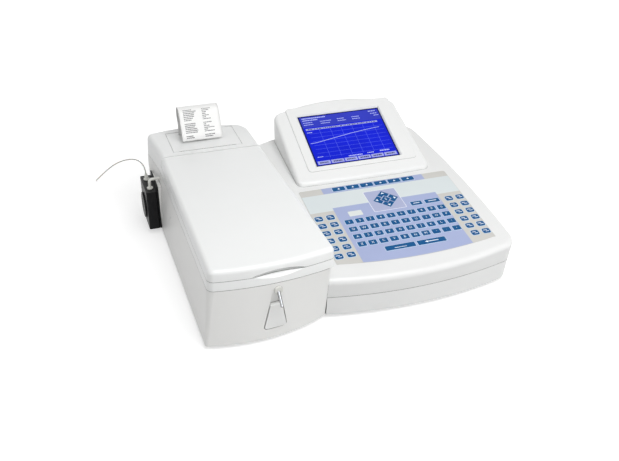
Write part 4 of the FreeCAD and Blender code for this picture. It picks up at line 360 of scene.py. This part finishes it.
def times(tree, left, right):
    product = tree.nodes.new("ShaderNodeMath")
    product.operation = "MULTIPLY"
    tree.links.new(left, product.inputs[0])
    tree.links.new(right, product.inputs[1])
    return product.outputs[0]


def add_floor():
    """A pale floor that keeps the shadow near the object and is white further off."""
    material, tree, shader = new_material("floor_white")
    shader.inputs["Base Color"].default_value = grey(FLOOR_BASE)
    shader.inputs["Roughness"].default_value = 0.9
    shader.inputs["Specular IOR Level"].default_value = 0.1
    place = tree.nodes.new("ShaderNodeTexCoord")
    far_off = tree.nodes.new("ShaderNodeVectorMath")
    far_off.operation = "LENGTH"
    tree.links.new(place.outputs["Object"], far_off.inputs[0])
    lift = ramp(tree, far_off.outputs["Value"], grey(FLOOR_LIFT), grey(1.0), *FLOOR_PLAIN)
    shown = times(tree, lift.outputs["Color"], seen_directly(tree))
    shader.inputs["Emission Color"].default_value = grey(1.0)
    tree.links.new(shown, shader.inputs["Emission Strength"])
    corners = [(FLOOR_REACH * x, FLOOR_REACH * y, 0) for x, y in ((-1, -1), (1, -1), (1, 1), (-1, 1))]
    floor = mesh_object("floor", corners, [(0, 1, 2, 3)], material)


def add_world():
    world = bpy.data.worlds.new("studio")
    bpy.context.scene.world = world
    world.use_nodes = True
    tree = world.node_tree
    background = tree.nodes["Background"]
    background.inputs["Color"].default_value = grey(1.0)
    seen = seen_directly(tree)
    level = ramp(tree, seen, grey(WORLD_LEVEL), grey(1.0), 0.0, 1.0)
    tree.links.new(level.outputs["Color"], background.inputs["Strength"])


def add_studio():
    add_camera()
    add_world()
    add_floor()
    for lamp in LAMPS:
        add_lamp(*lamp)
    bpy.context.scene.view_settings.view_transform = "Standard"


# Free waste tube, along the same route as its solid
WASTE_RADIUS = 0.9
WASTE_ROUTE = [
    (-12.8, 323.5, 74.1),
    (-13.2, 324.6, 82.5),
    (-16.2, 332.2, 87.8),
    (-21.8, 346.2, 87.6),
    (-29.2, 365.1, 81.0),
    (-38.2, 387.8, 69.8),
    (-47.5, 411.4, 55.6),
    (-56.4, 434.0, 39.0),
    (-65.8, 457.6, 20.2),
    (-74.8, 480.4, 1.1),
]


def add_waste_tube(material):
    data = bpy.data.curves.new("waste_line", "CURVE")
    data.dimensions = "3D"
    spline = data.splines.new("NURBS")
    spline.points.add(len(WASTE_ROUTE) - 1)
    for point, stop in zip(spline.points, WASTE_ROUTE):
        point.co = (*design(*stop), 1.0)
    spline.order_u = 3
    spline.use_endpoint_u = True
    spline.resolution_u = 12
    data.bevel_depth = WASTE_RADIUS * MM
    data.bevel_resolution = 5
    data.use_fill_caps = True
    data.materials.append(material)
    tube = bpy.data.objects.new("waste_line", data)
    bpy.context.scene.collection.objects.link(tube)
    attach(tube, "base")
    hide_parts("waste_tube")


# Keypad film in its colour zones: corners x0, y0, x1, y1, and a corner radius where it is round
PAD_CORNER = 3.0
PAD_NIP = 0.9
PAD_NICK = 1.0
PAD_FRONT_STEPS = 24
PALE_BAND = (0.3, -48.6, PAD_WIDTH - 0.3, -12.5)
LILAC_BAND = (31, -12.4, 177, -0.3)
LILAC_FIELD = (32, 178, -43.5)
FILM_FIELDS = [
    ("film_cursor_border", "film_line", (82.2, -64.8, 127.8, -20.7, 1.6), 0),
    ("film_cursor_field", "film_lilac_deep", (82.9, -64.1, 127.1, -21.4, 1.2), 1),
    ("film_label_field", "film_label", (48.0, -65.7, 66.5, -55.5, 1.0), 0),
]

# Keys: middle x and y, width and height
FUNCTION_KEYS = [(54.2 + 20.0 * i, -5.8, 17.4, 8.2) for i in range(6)]
LETTER_ROWS = ["1234567890", "QWERTYUIOP", "ASDFGHJKL;", "ZXCVBNM,.-"]
LETTER_FIRST = (42.9, -76.0)
LETTER_PITCH = (14.3, 14.85)
LETTER_SIZE = (10.6, 8.6)
SIDE_FIRST_X = (7.4, 189.8)
SIDE_FIRST_Y = -61.2
SIDE_COLUMNS = 2
SIDE_ROWS = 6
SIDE_PITCH = (15.7, 14.9)
SIDE_SIZE = (10.2, 9.0)
SPACE_KEY = (87.0, -136.6, 39.5, 8.2)
BACK_KEY = (129.2, -136.6, 38.0, 8.2)
UPPER_KEYS = [(142.8, -60.2, 15.4, 7.4), (165.6, -60.2, 20.4, 7.4)]
CURSOR = (107.0, -42.0)
CURSOR_INNER = 4.6
CURSOR_RING = (5.8, 12.4)
CURSOR_SLOT = 1.6
CURSOR_TURN = 45.0
CURSOR_MARK = 6.4
CURSOR_ROUND = 1.2
LETTER_HEIGHT = 5.2
KEY_ROUND = 0.8
SIDE_ROUND = 2.2
KEY_BORDER = 0.75
FUNCTION_BORDER = 0.7
KEY_CHAMFER = 0.16
RIM_RISE = 0.1
RIM_GROWTH = 0.5
MARK_RISE = 0.02

# Light marks on the keys, drawn about each key's middle; a bar is across, up and length
FUNCTION_MARK = [(-1.7, -1.2), (1.7, -1.2), (0.0, 1.8)]
ARROW_MARK = [(-2.3, -1.6), (2.3, -1.6), (0.0, 1.8)]
SPACE_MARK = [(-8, -1.6), (8, -1.6), (8, -0.8), (-8, -0.8)]
BACK_MARKS = [
    [(-9, 0), (-5.4, -2), (-5.4, 2)],
    [(-5.4, -0.6), (9, -0.6), (9, 0.6), (-5.4, 0.6)],
]
SIDE_BARS = [(-1.2, 1.3, 5.2), (1.0, -1.2, 4.6)]
SIDE_BAR = 1.0
SIDE_BAR_ROUND = 0.3
UPPER_BAR = 1.2
UPPER_BAR_ROUND = 0.4
UPPER_BAR_SHARE = 0.56


def film_outline():
    """The film's own outline, with its curved front edge and small corners."""
    run = PAD_WIDTH - 2 * PAD_CORNER
    fronts = [PAD_CORNER + run * step / PAD_FRONT_STEPS for step in range(PAD_FRONT_STEPS + 1)]
    outline = [(PAD_NICK / 2, -PAD_SIDE - PAD_NIP)]
    outline += [(x, pad_front(x)) for x in fronts]
    outline += [(PAD_WIDTH - PAD_NICK / 2, -PAD_SIDE - PAD_NIP), (PAD_WIDTH, -PAD_SIDE)]
    outline += [(PAD_WIDTH, -PAD_CORNER), (PAD_WIDTH - PAD_NIP, -PAD_NIP)]
    outline += [(PAD_WIDTH - PAD_CORNER, 0.0), (PAD_CORNER, 0.0), (PAD_NIP, -PAD_NIP)]
    return outline + [(0.0, -PAD_CORNER), (0.0, -PAD_SIDE)]


def add_film(mats):
    base = Plates(on_deck)
    base.add(film_outline(), -PAD_RECESS, PAD_TOP)
    film = base.build("keypad_film", mats["film_grey"], "base")
    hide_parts("keypad_overlay")
    z = PAD_TOP
    top = PAD_TOP + FILM_LAYER
    pale = Plates(on_deck)
    pale.add(box_outline(*PALE_BAND), z, top)
    pale.build("film_pale_band", mats["film_pale"], "base")
    lilac = Plates(on_deck)
    lilac.add(box_outline(*LILAC_BAND), z, top)
    lilac.add(band_to_front(*LILAC_FIELD), z, top + FILM_LAYER)
    lilac.build("film_lilac", mats["film_lilac"], "base")
    for name, look, outline, layer in FILM_FIELDS:
        field = Plates(on_deck)
        low = top + layer * FILM_LAYER
        field.add(rounded_outline(*outline), low, low + 2 * FILM_LAYER)
        field.build(name, mats[look], "base")


def key_list():
    letters = []
    for row, marks in enumerate(LETTER_ROWS):
        for column, mark in enumerate(marks):
            x = LETTER_FIRST[0] + column * LETTER_PITCH[0]
            y = LETTER_FIRST[1] - row * LETTER_PITCH[1]
            letters.append((x, y, LETTER_SIZE[0], LETTER_SIZE[1], mark))
    return letters


def side_list():
    keys = []
    for first in SIDE_FIRST_X:
        for column in range(SIDE_COLUMNS):
            for row in range(SIDE_ROWS):
                x = first + column * SIDE_PITCH[0]
                y = SIDE_FIRST_Y - row * SIDE_PITCH[1]
                keys.append((x, y) + SIDE_SIZE)
    return keys


def add_key_group(name, node, keys, radius, border, mats):
    rims = Plates(on_deck)
    pads = Plates(on_deck)
    low = PAD_TOP + FILM_LAYER
    for x, y, w, h in keys:
        rim = centred_outline(x, y, w + 2 * border, h + 2 * border, radius + border)
        rims.add(rim, low, low + RIM_RISE)
        pads.add(centred_outline(x, y, w, h, radius), low, PAD_TOP + KEY_RISE, KEY_CHAMFER)
    rim = rims.build(name + "_rims", mats["key_rim"], "base")
    pad = pads.build(name + "_pads", mats["key_blue"], "base")
    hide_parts(node)


def add_keys(mats):
    letters = [key[:4] for key in key_list()] + [SPACE_KEY, BACK_KEY] + UPPER_KEYS
    add_key_group("letter_key", "character_keys", letters, KEY_ROUND, KEY_BORDER, mats)
    add_key_group("side_key", "side_keys", side_list(), SIDE_ROUND, KEY_BORDER, mats)
    add_key_group("function_key", "function_keys", FUNCTION_KEYS, KEY_ROUND, FUNCTION_BORDER, mats)
    add_cursor_keys(mats)
    add_marks(mats)


def turned_outline(points, degrees):
    """Points round the cursor cluster's middle, turned about it."""
    cos = math.cos(math.radians(degrees))
    sin = math.sin(math.radians(degrees))
    return [(CURSOR[0] + x * cos - y * sin, CURSOR[1] + x * sin + y * cos) for x, y in points]


def chevron(grow):
    """The upper corner of the cluster's diamond ring, between its two slots."""
    inner, outer = (reach * math.sqrt(2) for reach in CURSOR_RING)
    inner -= grow
    outer += grow
    gap = CURSOR_SLOT / 2 * math.sqrt(2) - grow
    return [
        (0.0, inner),
        ((inner - gap) / 2, (inner + gap) / 2),
        ((outer - gap) / 2, (outer + gap) / 2),
        (0.0, outer),
        (-(outer - gap) / 2, (outer + gap) / 2),
        (-(inner - gap) / 2, (inner + gap) / 2),
    ]


def add_cursor_keys(mats):
    low = PAD_TOP + 2 * FILM_LAYER
    top = PAD_TOP + KEY_RISE
    pads = Plates(on_deck)
    rims = Plates(on_deck)
    for turn in range(4):
        rims.add(turned_outline(chevron(RIM_GROWTH), 90 * turn), low, low + RIM_RISE)
        pads.add(turned_outline(chevron(0.0), 90 * turn), low, top)
    middle = centred_outline(0.0, 0.0, 2 * CURSOR_INNER, 2 * CURSOR_INNER, CURSOR_ROUND)
    pads.add(turned_outline(middle, CURSOR_TURN), low, top, KEY_CHAMFER)
    pad = pads.build("cursor_key_pads", mats["key_blue"], "base")
    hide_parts("cursor_keys")
    rims.build("cursor_key_rims", mats["key_rim"], "base")


def letter_mesh(mark, size):
    """A single letter as flat triangles, centred on its own middle."""
    curve = bpy.data.curves.new("letter", "FONT")
    curve.body = mark
    curve.size = size
    curve.resolution_u = 3
    holder = bpy.data.objects.new("letter", curve)
    bpy.context.scene.collection.objects.link(holder)
    bpy.context.view_layer.update()
    mesh = bpy.data.meshes.new_from_object(holder)
    verts = [tuple(v.co) for v in mesh.vertices]
    faces = [tuple(p.vertices) for p in mesh.polygons]
    bpy.data.objects.remove(holder)
    bpy.data.curves.remove(curve)
    bpy.data.meshes.remove(mesh)
    cx = (min(v[0] for v in verts) + max(v[0] for v in verts)) / 2
    cy = (min(v[1] for v in verts) + max(v[1] for v in verts)) / 2
    return [(v[0] - cx, v[1] - cy) for v in verts], faces


def add_marks(mats):
    marks = Plates(on_deck)
    low = PAD_TOP + KEY_RISE
    top = low + MARK_RISE
    letters = [(x, y, mark, LETTER_HEIGHT) for x, y, w, h, mark in key_list()]
    letters.append((*CURSOR, "S", CURSOR_MARK))
    for x, y, mark, size in letters:
        points, faces = letter_mesh(mark, size)
        start = len(marks.verts)
        for px, py in points:
            marks.verts.append(on_deck(x + px, y + py, top))
        marks.faces += [tuple(start + i for i in face) for face in faces]
    for x, y, w, h in FUNCTION_KEYS:
        marks.add(shifted(FUNCTION_MARK, x, y), low, top)
    for x, y, w, h in side_list():
        for across, up, length in SIDE_BARS:
            marks.add(centred_outline(x + across, y + up, length, SIDE_BAR, SIDE_BAR_ROUND), low, top)
    marks.add(shifted(SPACE_MARK, *SPACE_KEY[:2]), low, top)
    for outline in BACK_MARKS:
        marks.add(shifted(outline, *BACK_KEY[:2]), low, top)
    for x, y, w, h in UPPER_KEYS:
        marks.add(centred_outline(x, y, w * UPPER_BAR_SHARE, UPPER_BAR, UPPER_BAR_ROUND), low, top)
    reach = (CURSOR_RING[0] + CURSOR_RING[1]) / math.sqrt(2)
    arrow = shifted(ARROW_MARK, 0.0, reach)
    for turn in range(4):
        marks.add(turned_outline(arrow, 90 * turn), low, top)
    piece = marks.build("key_marks", mats["key_mark"], "base")


# Display picture, in millimetres from the window's lower left corner
DISPLAY_EDGE = 2.0
GLASS_LAYER = 0.06
LAYER = 0.04
THIN_LAYER = 0.02
CURVE_RISE = 0.03
HEADER = (72.5, 92.8)
GRID_BOX = (8, 14, 118, 66)
GRID_COLUMNS = 6
GRID_PITCH = 16.2
GRID_HALF = 0.2
GRID_ROWS = 7
GRID_ROW_FIRST = 16
GRID_ROW_PITCH = 7.4
GRID_ROW_HALF = 0.17
CURVE = [(4, 42.5), (14, 43.2), (27, 45.6), (44, 48.6), (66, 52.4), (88, 55.4), (112, 57.8)]
CURVE_HALF = 0.35

# Rows of pale dashes: left end, middle height, length and thickness
DASH_ROWS = [
    (5, 90.2, 34, 1.9),
    (5, 86.4, 22, 1.7),
    (5, 82.0, 12, 1.2),
    (5, 78.0, 14, 1.2),
    (30, 82.0, 16, 1.2),
    (30, 78.0, 14, 1.2),
    (56, 83.0, 10, 1.2),
    (56, 79.0, 12, 1.2),
    (78, 83.0, 12, 1.2),
    (78, 79.0, 10, 1.2),
    (106, 89.8, 11, 1.7),
    (108, 85.0, 9, 1.3),
    (112, 81.0, 7, 1.2),
    (5, 63, 7, 1.2),
    (6, 16.5, 8, 1.2),
    (97, 13.4, 14, 2.0),
    (78, 12.6, 8, 1.4),
    (50, 11.6, 20, 1.8),
]
DASH = ((0.9, 2.6), (0.35, 0.7))
STATUS_BAR = (5, 67.4, 113, 70.4)
STATUS_DASHES = (8.0, 68.3, 108, 69.6)
STATUS_DASH = ((1.0, 3.4), (0.5, 2.6))
BOX_COUNT = 6
BOX_PITCH = 19.6
FIRST_BOX = (3.4, 2.9, 18.2, 9.0)
BOX_DASHES = (6.4, 5.0, 12.0, 7.0)
BOX_DASH = ((1.0, 2.4), (0.4, 0.8))


def dashes(draw, x, x_end, sizes):
    """Ends of a row of dashes with drawn widths and gaps."""
    widths, gaps = sizes
    while x < x_end:
        width = draw.uniform(*widths)
        yield x, x + width
        x += width + draw.uniform(*gaps)


def add_picture_part(plates, name, material):
    plates.build(name, material, "base")


def grid_plates(low, top):
    lines = Plates(on_face)
    x_low, y_low, x_high, y_high = GRID_BOX
    for column in range(1, GRID_COLUMNS + 1):
        x = x_low + GRID_PITCH * column
        lines.add(box_outline(x - GRID_HALF, y_low, x + GRID_HALF, y_high), low, top)
    for row in range(GRID_ROWS):
        y = GRID_ROW_FIRST + GRID_ROW_PITCH * row
        lines.add(box_outline(x_low, y - GRID_ROW_HALF, x_high, y + GRID_ROW_HALF), low, top)
    return lines


def mark_plates(draw, low, top):
    """The curve and the pale rows of dashes."""
    bright = Plates(on_face)
    for (x0, y0), (x1, y1) in zip(CURVE, CURVE[1:]):
        outline = [
            (x0, y0 - CURVE_HALF),
            (x1, y1 - CURVE_HALF),
            (x1, y1 + CURVE_HALF),
            (x0, y0 + CURVE_HALF),
        ]
        bright.add(outline, low, top + CURVE_RISE)
    for x, y, length, height in DASH_ROWS:
        for x0, x1 in dashes(draw, x, x + length, DASH):
            bright.add(box_outline(x0, y - height / 2, x1, y + height / 2), low, top)
    return bright


def box_plates(low, top):
    boxes = Plates(on_face)
    boxes.add(box_outline(*STATUS_BAR), low, low + THIN_LAYER)
    x_first, y0, width, y1 = FIRST_BOX
    for index in range(BOX_COUNT):
        x = x_first + BOX_PITCH * index
        boxes.add(box_outline(x, y0, x + width, y1), low, top)
    return boxes


def box_mark_plates(draw, low, top):
    dark = Plates(on_face)
    x_first, y0, length, y1 = BOX_DASHES
    for index in range(BOX_COUNT):
        x = x_first + BOX_PITCH * index
        for x0, x1 in dashes(draw, x, x + length, BOX_DASH):
            dark.add(box_outline(x0, y0, x1, y1), top, top + THIN_LAYER)
    x, y0, x_end, y1 = STATUS_DASHES
    for x0, x1 in dashes(draw, x, x_end, STATUS_DASH):
        dark.add(box_outline(x0, y0, x1, y1), low + THIN_LAYER, low + 2 * THIN_LAYER)
    return dark


def add_display(mats):
    z = DISPLAY_DEPTH
    edge = DISPLAY_EDGE
    right = DISPLAY_W - edge
    glass = Plates(on_face)
    glass.add(box_outline(0, 0, DISPLAY_W, DISPLAY_H), z, z + GLASS_LAYER)
    add_picture_part(glass, "display_border", mats["screen_dark"])
    low = z + GLASS_LAYER + LAYER
    top = low + LAYER
    field = Plates(on_face)
    field.add(box_outline(edge, edge, right, DISPLAY_H - edge), z + GLASS_LAYER, low)
    add_picture_part(field, "display_field", mats["screen_blue"])
    header = Plates(on_face)
    header.add(box_outline(edge, HEADER[0], right, HEADER[1]), low, low + THIN_LAYER)
    add_picture_part(header, "display_header", mats["screen_violet"])
    add_picture_part(grid_plates(low, top), "display_grid", mats["screen_line"])
    draw = random.Random(7)
    add_picture_part(mark_plates(draw, low, top), "display_marks", mats["screen_pale"])
    add_picture_part(box_plates(low, top), "display_boxes", mats["screen_grey"])
    add_picture_part(box_mark_plates(draw, low, top), "display_box_marks", mats["screen_dark"])


# Printed paper strip, on the same line as its solid
PAPER_X = (42.0, 99.0)
PAPER_THICK = 0.16
SLOT_PLACE = (347.0, 116.744)
PAPER_BELOW = 5.5
STRIP_POINTS = [(0.0, 14.0), (9.0, 28.0), (4.0, 42.0), (-13.0, 41.0), (-23.0, 22.0), (-33.0, 2.5)]
BEND_SHARE = 0.45
BEND_STEPS = 8
STRIP_COLUMNS = 14
WAVE_HEIGHT = 0.12
WAVE_ACROSS = 0.9
WAVE_ALONG = 0.16
WAVE_ROWS = 10

# Print on the strip: its rows, the rows left empty, and two columns of x and drawn length
PRINT_ROWS = 17
PRINT_EMPTY = (2, 9)
PRINT_END = 3.0
PRINT_PITCH = 2.45
PRINT_HEIGHT = 1.2
PRINT_LIFT = 0.16
PRINT_DASH = ((0.7, 1.7), (0.25, 0.6))
PRINT_COLUMNS = [(48.0, (9, 18)), (74.5, (3, 14))]


def strip_line():
    """Points along the strip's side line, round its soft bends."""
    stops = [Vector((0.0, -PAPER_BELOW))] + [Vector(p) for p in STRIP_POINTS]
    line = [stops[0]]
    for before, corner, after in zip(stops, stops[1:], stops[2:]):
        reach = BEND_SHARE * min((corner - before).length, (after - corner).length)
        entry = corner + (before - corner).normalized() * reach
        leave = corner + (after - corner).normalized() * reach
        for step in range(BEND_STEPS + 1):
            t = step / BEND_STEPS
            line.append(entry * (1 - t) ** 2 + corner * 2 * t * (1 - t) + leave * t ** 2)
    line.append(stops[-1])
    return [Vector((p.x + SLOT_PLACE[0], p.y + SLOT_PLACE[1])) for p in line]


def outward(line, index):
    before = line[max(index - 1, 0)]
    after = line[min(index + 1, len(line) - 1)]
    way = (after - before).normalized()
    return Vector((way.y, -way.x))


def add_strip(mats):
    """The curved strip: two slightly wavy sides and a rim between them."""
    line = strip_line()
    columns = STRIP_COLUMNS
    width = PAPER_X[1] - PAPER_X[0]
    verts = []
    for side in (PAPER_THICK / 2, -PAPER_THICK / 2):
        for index, point in enumerate(line):
            out = outward(line, index)
            for column in range(columns + 1):
                x = PAPER_X[0] + width * column / columns
                wave = WAVE_HEIGHT * math.sin(column * WAVE_ACROSS + index * WAVE_ALONG)
                lift = side + wave * min(1.0, index / WAVE_ROWS)
                verts.append(design(x, point.x + out.x * lift, point.y + out.y * lift))
    faces = []
    rows = len(line)
    layer = rows * (columns + 1)
    for index in range(rows - 1):
        for column in range(columns):
            a = index * (columns + 1) + column
            quad = (a, a + 1, a + columns + 2, a + columns + 1)
            faces.append(quad)
            faces.append(tuple(layer + i for i in reversed(quad)))
    rim = [i * (columns + 1) for i in range(rows)]
    rim += [(rows - 1) * (columns + 1) + c for c in range(1, columns + 1)]
    rim += [i * (columns + 1) + columns for i in range(rows - 2, -1, -1)]
    rim += list(range(columns - 1, 0, -1))
    for a, b in zip(rim, rim[1:] + rim[:1]):
        faces.append((b, a, layer + a, layer + b))
    strip = mesh_object("printed_strip", verts, faces, mats["paper"], smooth=True)
    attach(strip, "printer_cover")
    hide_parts("paper_strip")
    add_print(line, mats)


def add_print(line, mats):
    """Rows of short dashes that stand for the strip's print."""
    draw = random.Random(21)
    ways = [0.0]
    for a, b in zip(line, line[1:]):
        ways.append(ways[-1] + (b - a).length)
    total = ways[-1]
    lift = PAPER_THICK / 2 + PRINT_LIFT

    def on_strip(x, along):
        index = max(i for i, value in enumerate(ways[:-1]) if value <= along)
        share = (along - ways[index]) / (ways[index + 1] - ways[index])
        point = line[index].lerp(line[index + 1], min(share, 1.0))
        out = outward(line, index).lerp(outward(line, index + 1), min(share, 1.0))
        return design(x, point.x + out.x * lift, point.y + out.y * lift)

    verts = []
    faces = []
    for row in range(PRINT_ROWS):
        low = total - PRINT_END - row * PRINT_PITCH
        high = low - PRINT_HEIGHT
        for x, length in [(x, draw.uniform(*lengths)) for x, lengths in PRINT_COLUMNS]:
            if row in PRINT_EMPTY:
                continue
            for x0, x1 in dashes(draw, x, x + length, PRINT_DASH):
                start = len(verts)
                verts += [on_strip(*corner) for corner in box_outline(x0, low, x1, high)]
                faces.append((start, start + 1, start + 2, start + 3))
    marks = mesh_object("strip_print", verts, faces, mats["ink"])
    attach(marks, "printer_cover")


# Looks of the pieces made here: colour and roughness, or colour alone for the lit display
FILM = dict(grain=0.15, grain_size=0.0005, spread=0.012, edge=0.0)
KEY = dict(FILM, Specular_IOR_Level=0.12)
SURFACE_LOOKS = {
    "film_grey": ((0.57, 0.56, 0.53), 0.42, FILM),
    "film_pale": ((0.66, 0.715, 0.725), 0.40, FILM),
    "film_lilac": ((0.355, 0.41, 0.63), 0.40, FILM),
    "film_lilac_deep": ((0.385, 0.42, 0.61), 0.40, FILM),
    "film_line": ((0.85, 0.86, 0.90), 0.40, FILM),
    "film_label": ((0.70, 0.74, 0.72), 0.40, FILM),
    "key_blue": ((0.006, 0.088, 0.25), 0.45, KEY),
    "key_rim": ((0.56, 0.70, 0.86), 0.38, FILM),
    "key_mark": ((0.80, 0.88, 0.95), 0.45, FILM),
    "paper": ((0.88, 0.88, 0.87), 0.55, dict(grain=0.1, edge=0.0, spread=0.01)),
    "ink": ((0.10, 0.10, 0.11), 0.6, dict(edge=0.0)),
    "tube_silicone": ((0.45, 0.45, 0.43), 0.30, dict(edge=0.0, Subsurface_Weight=0.3)),
}
GLOW_LOOKS = {
    "screen_dark": ((0.01, 0.015, 0.16), 0.5),
    "screen_blue": ((0.001, 0.010, 0.60), 1.0),
    "screen_violet": ((0.028, 0.040, 0.47), 1.0),
    "screen_line": ((0.09, 0.13, 0.80), 1.0),
    "screen_pale": ((0.45, 0.50, 0.92), 1.0),
    "screen_grey": ((0.33, 0.36, 0.72), 1.0),
}


def build_materials():
    mats = {}
    for name, (color, rough, options) in SURFACE_LOOKS.items():
        mats[name] = surface(name, color, rough, **options)
    for name, (color, strength) in GLOW_LOOKS.items():
        mats[name] = glowing(name, color, strength)
    return mats


# What each carried-over CAD node is made of: colour, roughness, options and nodes
# The shells get painted shade in their seams, darkened within the crevice reach
SHELL = dict(grain=0.05, grain_size=0.0007, spread=0.006, edge=0.0002, crevice=0.0015)
BLACK = dict(grain=0.2, edge=0.0004, Specular_IOR_Level=0.15)
NODE_LOOKS = {
    "shell_tower": ((0.80, 0.80, 0.785), 0.36, SHELL, ["tower_casing"]),
    "shell_cover": ((0.84, 0.85, 0.845), 0.30, SHELL, ["upper_housing", "lid", "printer_cover"]),
    "shell_console": ((0.765, 0.77, 0.765), 0.32, SHELL, ["console_base", "console_top"]),
    "shell_screen": ((0.80, 0.805, 0.80), 0.30, SHELL, ["screen_housing", "screen_bezel"]),
    "black_moulded": (
        (0.006, 0.006, 0.007),
        0.38,
        BLACK,
        ["pump_body", "pump_clamp", "pump_rotor", "pump_plate", "printer_frame", "power_inlet"]
        + ["fuse_drawer", "rocker_switch", "fan_frame", "fan_rotor", "filter_wheel", "aspirate_switch"],
    ),
    "white_moulded": (
        (0.70, 0.70, 0.66),
        0.35,
        dict(grain=0.05, edge=0.0003),
        ["inlet_fitting", "outlet_fitting", "needle_boss"]
        + ["pump_roller_1", "pump_roller_2", "pump_roller_3"],
    ),
    "key_grey": ((0.78, 0.785, 0.775), 0.30, dict(grain=0.05, edge=0.0004), ["aspirate_key"]),
    "panel_grey": (
        (0.60, 0.60, 0.58),
        0.40,
        dict(grain=0.6, edge=0.0004),
        ["rear_panel", "lcd_frame", "power_supply"],
    ),
    "plain_steel": (
        (0.62, 0.62, 0.63),
        0.32,
        dict(edge=0.0003, Metallic=1.0),
        ["hinge_pins", "printer_motor", "motor_pinion", "pump_motor", "filter_motor", "data_port"]
        + ["casing_screws"],
    ),
    "bright_steel": ((0.30, 0.31, 0.32), 0.14, dict(edge=0.0002, Metallic=1.0), ["sipper_needle"]),
    "milled_aluminium": (
        (0.70, 0.71, 0.72),
        0.35,
        dict(grain=0.2, edge=0.0004, Metallic=1.0),
        ["print_head", "optical_bench", "lamp_housing", "lens_barrel", "flow_cell_block"],
    ),
    "board_green": ((0.02, 0.16, 0.07), 0.35, dict(edge=0.0003), ["main_board", "detector_board"]),
    "rubber_black": ((0.03, 0.03, 0.03), 0.7, dict(grain=0.4, edge=0.0004), ["platen_roller"]),
    "rubber_grey": ((0.12, 0.12, 0.125), 0.75, dict(grain=0.4, edge=0.0005), ["feet"]),
    "clear_glass": (
        (0.80, 0.86, 0.90),
        0.05,
        dict(edge=0.0, Transmission_Weight=0.9),
        ["lamp", "filters"],
    ),
    "silicone": ((0.72, 0.70, 0.64), 0.35, dict(edge=0.0), ["pump_tube", "sample_tubing"]),
    "roll_paper": ((0.86, 0.86, 0.85), 0.6, dict(edge=0.0), ["paper_roll"]),
    "display_body": ((0.02, 0.03, 0.20), 0.3, dict(edge=0.0), ["lcd_panel"]),
}


def dress_nodes():
    for name, (color, rough, options, nodes) in NODE_LOOKS.items():
        material = surface(name, color, rough, **options)
        for node in nodes:
            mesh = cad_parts[node].data
            mesh.materials.clear()
            mesh.materials.append(material)


add_studio()
MATERIALS = build_materials()
add_waste_tube(MATERIALS["tube_silicone"])
add_film(MATERIALS)
add_keys(MATERIALS)
add_display(MATERIALS)
add_strip(MATERIALS)
dress_nodes()
